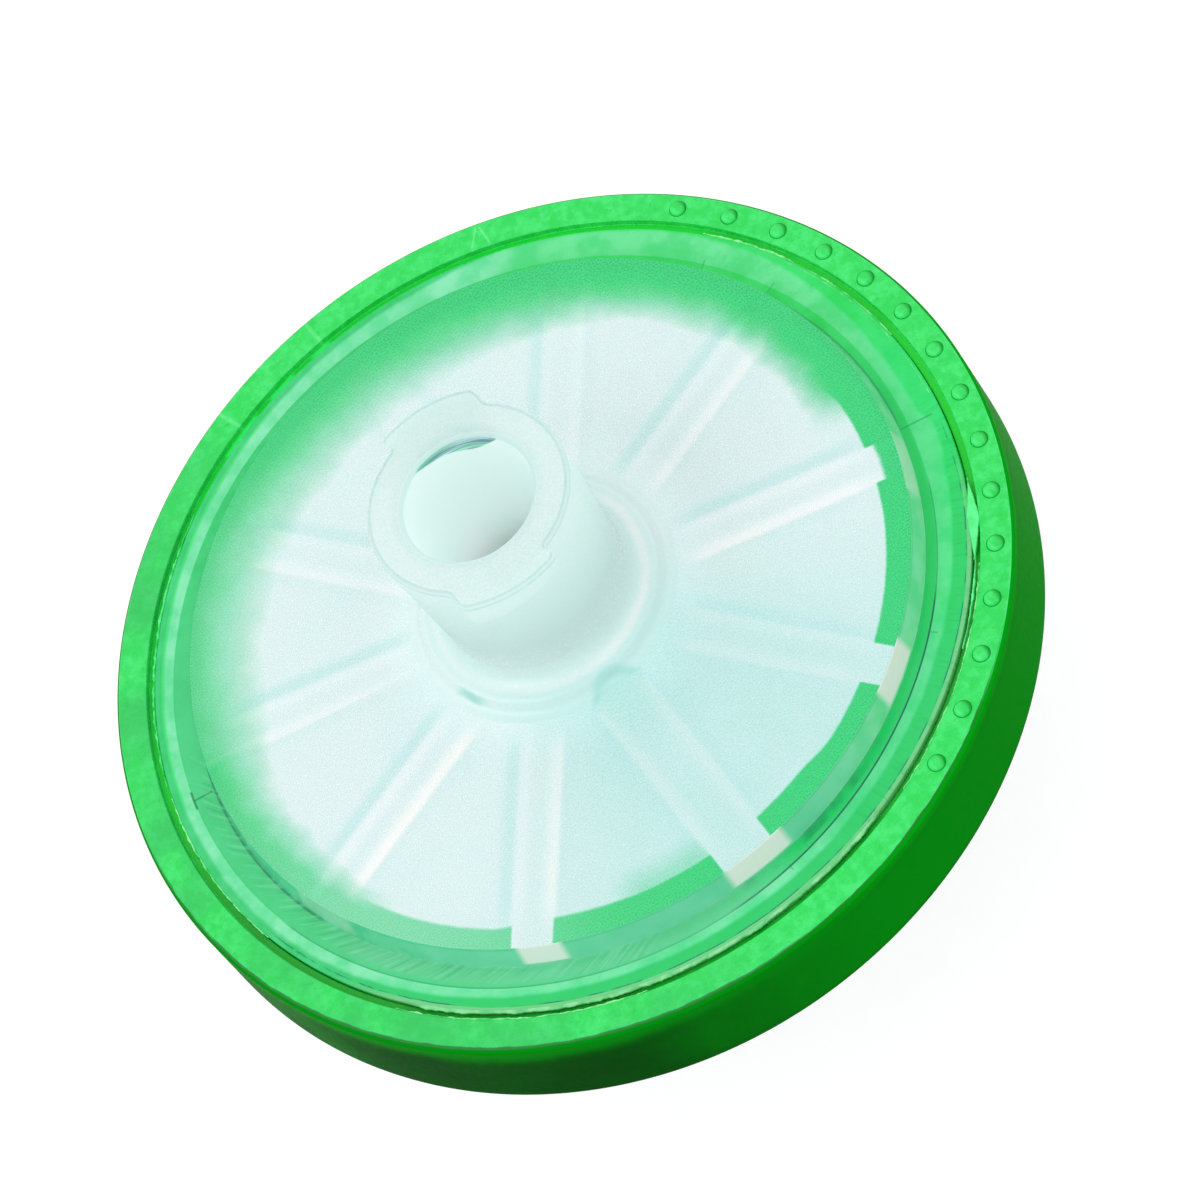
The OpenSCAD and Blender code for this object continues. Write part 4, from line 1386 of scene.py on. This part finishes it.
class InletSkin:
    """The inlet half's closed skin: rows round the axis, and the finish after each row.

    The rows begin in the port, go out along the underside, round the flange, in over the
    raised middle, up the hub and its lugs, and down the socket to the port again.
    """

    def __init__(self):
        self.housing, self.hub = bpy.context.scene.filter_housing, bpy.context.scene.filter_hub
        self.rows, self.slots = [], []
        self.plate_columns = plate_columns()
        self.rim = [column_angle(c, self.housing.pocket_radius) for c in self.plate_columns]
        self.hub_columns = hub_columns()
        # both sets of columns begin at the same side
        while self.hub_columns[0][0] < self.rim[0] - math.radians(0.25):
            a, b, stand, depth = self.hub_columns.pop(0)
            self.hub_columns.append((a + 2 * math.pi, b + 2 * math.pi, stand, depth))
        self.hub_angles = [column[0] for column in self.hub_columns]
        self.mouth = INLET_HIGH.z
        self.rib_face = MEMBRANE_HIGH.z + 0.01 * MM
        self.pad = self.housing.plate_underside - self.hub.pad_depth
        self.fillet_top = self.hub.boss_top + self.hub.fillet
        self.wall_start = self.hub.foot_radius + (self.hub.radius - self.hub.foot_radius) * 0.1
        self.port_and_pad()
        self.plate_and_ribs()
        self.flange_and_middle()
        self.boss_and_wall()
        self.lugs()
        self.socket()

    def put(self, points, slot):
        self.rows.append(points)
        self.slots.append(slot)

    def put_profile(self, profile, slot):
        """Rows at the hub's angles through the points of a profile."""
        for p in profile:
            self.put([at(a, p.x, p.y) for a in self.hub_angles], slot)

    def under(self, r, z, rib_z=None, mix=1.0, slot=CLEAR):
        """A row of the underside; mix blends from the hub's angles to the plate's."""
        points = []
        for column, hub_angle in zip(self.plate_columns, self.hub_angles):
            # under the pad the plate's columns keep the angles that they have at its edge
            angle = column_angle(column, max(r, self.hub.pad_radius + 0.05 * MM))
            angle = hub_angle + (angle - hub_angle) * mix
            level = z
            if rib_z is not None:
                level = z + (rib_z - z) * column[3] * self.presence(column[0], r)
            points.append(at(angle, r, level))
        self.put(points, slot)

    def presence(self, rib, r):
        """How much of a rib there is at a radius; the wide rib reaches in to the pad."""
        rise = 0.04 * MM
        start = self.housing.rib_start - rise if rib else self.hub.pad_radius + 0.03 * MM
        return max(0.0, min(1.0, (r - start) / rise))

    def port_and_pad(self):
        port, edge, pad = self.hub.port_radius, self.hub.pad_radius, self.pad
        plate = self.housing.plate_underside
        self.under(port, pad + 0.3 * MM, mix=0.0)
        self.under(port, pad + 0.08 * MM, mix=0.0)
        self.under(port + 0.05 * MM, pad, mix=0.1)
        steps = 4
        for i in range(steps + 1):
            r = port + 0.1 * MM + i / steps * (edge - port - 0.2 * MM)
            self.under(r, pad, mix=0.1 + 0.9 * i / steps)
        self.under(edge - 0.02 * MM, pad + 0.02 * MM)
        self.under(edge, pad + 0.06 * MM)
        self.under(edge + 0.01 * MM, plate - 0.06 * MM, self.rib_face)
        self.under(edge + 0.03 * MM, plate - 0.02 * MM, self.rib_face)

    def plate_and_ribs(self):
        plate, low = self.housing.plate_underside, self.housing.flange_bottom
        rib_face = self.rib_face
        # radii in mm, closest together where the ribs begin
        for r in (3.47, 3.5, 3.65, 3.85, 4.05, 4.26, 4.3, 4.36, 4.6, 5.2, 6.0, 7.0, 8.0, 9.0,
                  10.0, 11.0, 12.0):
            self.under(r * MM, plate, rib_face, slot=UNDERSIDE)
        # radius past the pocket's edge and height, as the pocket's wall turns down
        edge, foot = self.housing.pocket_radius, self.housing.foot_radius
        for past, z in ((-0.07, plate - 0.01 * MM), (-0.02, plate - 0.05 * MM),
                        (0, plate - 0.12 * MM), (0.005, low + 0.08 * MM),
                        (0.02, low + 0.02 * MM), (0.06, low)):
            self.under(edge + past * MM, z, rib_face)
        self.under(foot - 0.06 * MM, low, rib_face)
        self.under(foot - 0.02 * MM, low, rib_face + 0.02 * MM)
        self.under(foot, low, rib_face + 0.06 * MM)
        self.under(foot + 0.01 * MM, low, low - 0.03 * MM)
        self.under(foot + 0.04 * MM, low)

    def flange_and_middle(self):
        housing, lip = self.housing, INLET_HIGH.x
        foot, low = housing.foot_radius, housing.flange_bottom
        side = rounded([
            (foot + 0.3 * MM, low, 0), (lip, low, 0.05 * MM), (lip, low + LIP, 0.05 * MM),
            (housing.flange_radius, low + LIP, 0),
            (housing.flange_radius, housing.flange_top, 0.05 * MM),
            (foot, housing.flange_top, 0.06 * MM),
            (housing.plateau_radius, housing.plateau_top, 0.07 * MM),
            (housing.plateau_radius - 0.3 * MM, housing.plateau_top, 0),
        ], closed=False)
        for p in side:
            finish = CLEAR
            if p.y > housing.plateau_top - 0.02 * MM:
                finish = FROSTED
            elif p.y > low + LIP - 0.01 * MM:
                finish = FLANGE if p.x > foot + 0.01 * MM else RIM
            self.put([at(a, p.x, p.y) for a in self.rim], finish)
        inner, outer = self.hub.boss_radius + 0.35 * MM, housing.plateau_radius - 0.5 * MM
        steps = 8
        for i in range(steps + 1):
            share = i / steps
            ease = share * share * (3 - 2 * share)
            r = outer + (inner - outer) * share
            self.put([at(a + (b - a) * ease, r, housing.plateau_top)
                      for a, b in zip(self.rim, self.hub_angles)], FROSTED)

    def boss_and_wall(self):
        hub, plateau, wall_foot = self.hub, self.housing.plateau_top, self.fillet_top + 0.1 * MM
        self.put_profile(rounded([
            (hub.boss_radius + 0.33 * MM, plateau, 0),
            (hub.boss_radius + 0.05 * MM, plateau, 0.35 * MM),
            (hub.boss_radius - 0.28 * MM, hub.boss_top, 0.25 * MM),
            (hub.foot_radius, hub.boss_top, hub.fillet), (self.wall_start, wall_foot, 0),
        ], closed=False, steps=5), HUB)
        below_lugs = self.mouth - hub.lug_lead_depth - 0.3 * MM
        steps = 4
        for i in range(1, steps + 1):
            z = wall_foot + (below_lugs - wall_foot) * i / steps
            self.put([at(a, self.wall_radius(z), z) for a in self.hub_angles], HUB)

    def wall_radius(self, z):
        share = (z - self.fillet_top) / (self.mouth - self.fillet_top)
        return self.wall_start + (self.hub.radius - self.wall_start) * share

    def outline(self, share, lift=0.0, inset=0.0, from_top=None):
        """A row on the hub and its lugs; share 0 is the hub's wall, 1 the lug's outside.

        It lies at the lugs' underside, raised by lift, or at a distance from the mouth.
        """
        points = []
        for angle, lug_angle, stand, depth in self.hub_columns:
            z = self.mouth - depth + lift if from_top is None else self.mouth - from_top
            r = self.wall_radius(z)
            if share and stand:
                r += max(0.0, stand - inset)
            points.append(at(angle + (lug_angle - angle) * share, r, z))
        return points

    def lugs(self):
        """The lugs' undersides and outsides, and the rounded edge of the mouth."""
        self.put(self.outline(0, -0.02 * MM), HUB)
        self.put(self.outline(0), HUB)
        for lift, inset in ((0.0, 0.06), (0.018, 0.018), (0.06, 0.0), (0.09, 0.0)):
            self.put(self.outline(1, lift * MM, inset * MM), HUB)
        edge = self.hub.edge
        self.put(self.outline(1, from_top=edge + 0.03 * MM), HUB)

        def pulled_in(row, distance):
            return [p - Vector((p.x, p.y, 0)).normalized() * distance for p in row]

        steps = 4
        for i in range(steps + 1):
            turn = math.pi / 2 * i / steps
            row = self.outline(1, from_top=edge * (1 - math.sin(turn)))
            self.put(pulled_in(row, edge * (1 - math.cos(turn))), EDGE if i >= steps - 1 else HUB)
        self.put(pulled_in(self.rows[-1], 0.04 * MM), HUB)

    def socket(self):
        """The mouth's flat face, the tapered socket and the port."""
        hub, mouth, floor = self.hub, self.mouth, self.mouth - self.hub.socket_depth
        self.put_profile(rounded([
            (hub.socket_radius + 0.4 * MM, mouth, 0),
            (hub.socket_radius + 0.14 * MM, mouth, 0.03 * MM),
            (hub.socket_radius, mouth - 0.14 * MM, 0.03 * MM),
            (hub.socket_floor_radius, floor, 0.12 * MM), (hub.port_radius, floor, 0.08 * MM),
            (hub.port_radius, self.pad + 0.4 * MM, 0),
        ], closed=False), HUB)


class FILTER_OT_inlet(bpy.types.Operator):
    """Make the clear inlet half with its ribs, luer hub and lugs"""

    bl_idname = "filter.inlet"
    bl_label = "Inlet Half"

    def execute(self, context):
        bm = bmesh.new()
        whole = InletSkin()
        skin(bm, whole.rows, slots=whole.slots)
        finish_piece(bm, "inlet_half", [
            clear_plastic(), frosted_plastic(), hub_plastic("hub_plastic"), flange_plastic(),
            rim_plastic(), plate_underside_plastic(), hub_plastic("mouth_edge", line=True)],
            ["inlet_housing"])
        return {"FINISHED"}


# ---------- membrane and outlet half ----------


class FILTER_OT_membrane(bpy.types.Operator):
    """Make the membrane disc"""

    bl_idname = "filter.membrane"
    bl_label = "Membrane"

    def execute(self, context):
        bm = bmesh.new()
        edge, centre, round_edge = MEMBRANE_HIGH.x, 0.02 * MM, 0.03 * MM
        low, high = MEMBRANE_LOW.z + 0.005 * MM, MEMBRANE_HIGH.z - 0.01 * MM
        profile = [(centre, low), (edge * 0.5, low), (edge - round_edge, low),
                   (edge, low + round_edge), (edge, high - round_edge), (edge - round_edge, high),
                   (edge * 0.75, high), (edge * 0.5, high), (edge * 0.25, high), (centre, high)]
        loops = skin(bm, [around(r, z, 180) for r, z in profile], closed=False)
        bm.faces.new(loops[0])
        bm.faces.new(list(reversed(loops[-1])))
        finish_piece(bm, "membrane_disc", [membrane_material()],
                     ["filter_membrane"])
        return {"FINISHED"}


class FILTER_OT_outlet(bpy.types.Operator):
    """Make the outlet half with its plate and nozzle"""

    bl_idname = "filter.outlet"
    bl_label = "Outlet Half"

    def execute(self, context):
        sizes = context.scene.filter_outlet
        lip, seam = OUTLET_HIGH.x, context.scene.filter_housing.flange_radius
        seat, well_radius, well_depth = OUTLET_HIGH.z, 2.1 * MM, 0.3 * MM
        profile = rounded([
            (sizes.bore_radius, 0.0, 0.08 * MM), (sizes.tip_radius, 0.0, 0.12 * MM),
            (sizes.root_radius, sizes.nozzle_length, 0.5 * MM),
            (sizes.boss_radius, sizes.nozzle_length, 0.15 * MM),
            (sizes.boss_radius, sizes.plate_bottom, 0.2 * MM),
            (sizes.plate_radius, sizes.plate_bottom, 0.06 * MM),
            (sizes.plate_radius, sizes.flange_bottom, 0), (seam, sizes.flange_bottom, 0),
            (seam, seat - LIP, 0), (lip, seat - LIP, 0), (lip, seat, 0),
            (well_radius, seat, 0.05 * MM), (well_radius, seat - well_depth, 0),
            (sizes.bore_radius, seat - well_depth, 0.05 * MM),
        ], steps=5)
        bm = bmesh.new()
        skin(bm, [around(p.x, p.y, 360) for p in profile])
        finish_piece(bm, "outlet_half", [outlet_plastic()], ["outlet_housing"])
        return {"FINISHED"}


# ---------- stage ----------


def floor_paper(backdrop):
    """Plain grey paper that shines white where it is seen, and nowhere else."""
    f = Finish("floor_paper")
    f.paint(f.mix(f.noise(900, detail=3), (0.4, 0.4, 0.4), (0.44, 0.44, 0.44)))
    f.set(Roughness=0.9)
    glow = f.add("ShaderNodeEmission")
    path = f.add("ShaderNodeLightPath")
    seen = f.most(path.outputs["Is Camera Ray"],
                  f.most(path.outputs["Is Glossy Ray"], path.outputs["Is Transmission Ray"]))
    f.feed(f.times(seen, 0.7 * backdrop), glow.inputs["Strength"])
    both = f.add("ShaderNodeAddShader")
    f.feed(f.shader.outputs[0], both.inputs[0])
    f.feed(glow.outputs[0], both.inputs[1])
    f.show(both)
    return f.material


def stage_floor(scene):
    """A flat floor under the nozzle's tip."""
    bm = bmesh.new()
    reach = 0.6
    for x, y in ((-reach, -reach), (reach, -reach), (reach, reach), (-reach, reach)):
        bm.verts.new((x, y, OUTLET_LOW.z))
    bm.faces.new(list(bm.verts))
    mesh = bpy.data.meshes.new("floor")
    bm.to_mesh(mesh)
    bm.free()
    ground = bpy.data.objects.new("floor", mesh)
    scene.collection.objects.link(ground)
    mesh.materials.append(floor_paper(scene.filter_stage.backdrop))


def soft_sky(scene):
    """A sky that is brighter overhead, and plain behind the part."""
    settings = scene.filter_stage
    world = bpy.data.worlds.new("soft_sky")
    scene.world = world
    world.use_nodes = True
    nodes, links = world.node_tree.nodes, world.node_tree.links
    sky = nodes["Background"]
    sky.inputs["Color"].default_value = (1, 1, 1, 1)
    place = nodes.new("ShaderNodeTexCoord")
    split = nodes.new("ShaderNodeSeparateXYZ")
    links.new(place.outputs["Generated"], split.inputs["Vector"])
    fall = nodes.new("ShaderNodeMapRange")
    fall.clamp = True
    for key, number in (("From Min", -0.1), ("From Max", 0.7), ("To Min", 0.5 * settings.light),
                        ("To Max", 1.12 * settings.light)):
        fall.inputs[key].default_value = number
    links.new(split.outputs["Z"], fall.inputs["Value"])
    path = nodes.new("ShaderNodeLightPath")
    strength = nodes.new("ShaderNodeMix")
    strength.data_type = "FLOAT"
    links.new(path.outputs["Is Camera Ray"], strength.inputs[0])
    links.new(fall.outputs["Result"], strength.inputs[2])
    strength.inputs[3].default_value = settings.backdrop
    links.new(strength.outputs[0], sky.inputs["Strength"])


def key_light(scene):
    """A soft round lamp from the left of the camera."""
    lamp = bpy.data.lights.new("key_light", "AREA")
    lamp.shape, lamp.size, lamp.energy = "DISK", 0.35, 0.35
    turn, rise, distance = math.radians(200), math.radians(48), 0.5
    spot = Vector((math.cos(turn) * math.cos(rise), math.sin(turn) * math.cos(rise),
                   math.sin(rise))) * distance
    holder = bpy.data.objects.new("key_light", lamp)
    holder.location = spot + Vector((0, 0, 14 * MM))
    holder.rotation_euler = (-spot).to_track_quat("-Z", "Y").to_euler()
    scene.collection.objects.link(holder)


def view_camera(scene):
    """The camera above the inlet side, tilted, with a long lens."""
    data = bpy.data.cameras.new("camera")
    data.lens, data.sensor_width = 145.64, 36.0
    data.clip_start, data.clip_end = 0.01, 10.0
    place = Vector((20.07, -82.76, 140.90)) * MM
    right = Vector((0.8849, -0.3201, -0.3382)).normalized()
    ahead = Vector((-0.1226, 0.5405, -0.8323))
    ahead = (ahead - right * ahead.dot(right)).normalized()
    turn = Matrix((right, right.cross(ahead), -ahead)).transposed()
    camera = bpy.data.objects.new("camera", data)
    camera.matrix_world = Matrix.Translation(place) @ turn.to_4x4()
    scene.collection.objects.link(camera)
    scene.camera = camera


class FILTER_OT_stage(bpy.types.Operator):
    """Set up the floor, the soft light and the camera"""

    bl_idname = "filter.stage"
    bl_label = "Stage"

    def execute(self, context):
        context.scene.view_settings.view_transform = "Standard"
        for make in (stage_floor, soft_sky, key_light, view_camera):
            make(context.scene)
        return {"FINISHED"}


class FILTER_PT_panel(bpy.types.Panel):
    """Lists the filter's pieces in the sidebar"""

    bl_idname = "FILTER_PT_panel"
    bl_label = "Syringe Filter"
    bl_space_type = "VIEW_3D"
    bl_region_type = "UI"
    bl_category = "Filter"

    def draw(self, context):
        for operator in OPERATORS:
            self.layout.operator(operator.bl_idname)


GROUPS = {
    "filter_ring": RingSizes,
    "filter_housing": HousingSizes,
    "filter_hub": HubSizes,
    "filter_outlet": OutletSizes,
    "filter_finishes": Finishes,
    "filter_stage": StageSettings,
}
OPERATORS = (
    FILTER_OT_ring,
    FILTER_OT_membrane,
    FILTER_OT_outlet,
    FILTER_OT_inlet,
    FILTER_OT_flash,
    FILTER_OT_stage,
)


def register():
    for group in GROUPS.values():
        bpy.utils.register_class(group)
    for name, group in GROUPS.items():
        setattr(bpy.types.Scene, name, PointerProperty(type=group))
    for operator in OPERATORS:
        bpy.utils.register_class(operator)
    bpy.utils.register_class(FILTER_PT_panel)


def unregister():
    bpy.utils.unregister_class(FILTER_PT_panel)
    for operator in reversed(OPERATORS):
        bpy.utils.unregister_class(operator)
    for name in GROUPS:
        delattr(bpy.types.Scene, name)
    for group in reversed(list(GROUPS.values())):
        bpy.utils.unregister_class(group)


def main():
    register()
    bpy.ops.filter.ring()
    bpy.ops.filter.membrane()
    bpy.ops.filter.outlet()
    bpy.ops.filter.inlet()
    bpy.ops.filter.flash()
    bpy.ops.filter.stage()
    bpy.context.view_layer.update()


if __name__ == "__main__":
    main()
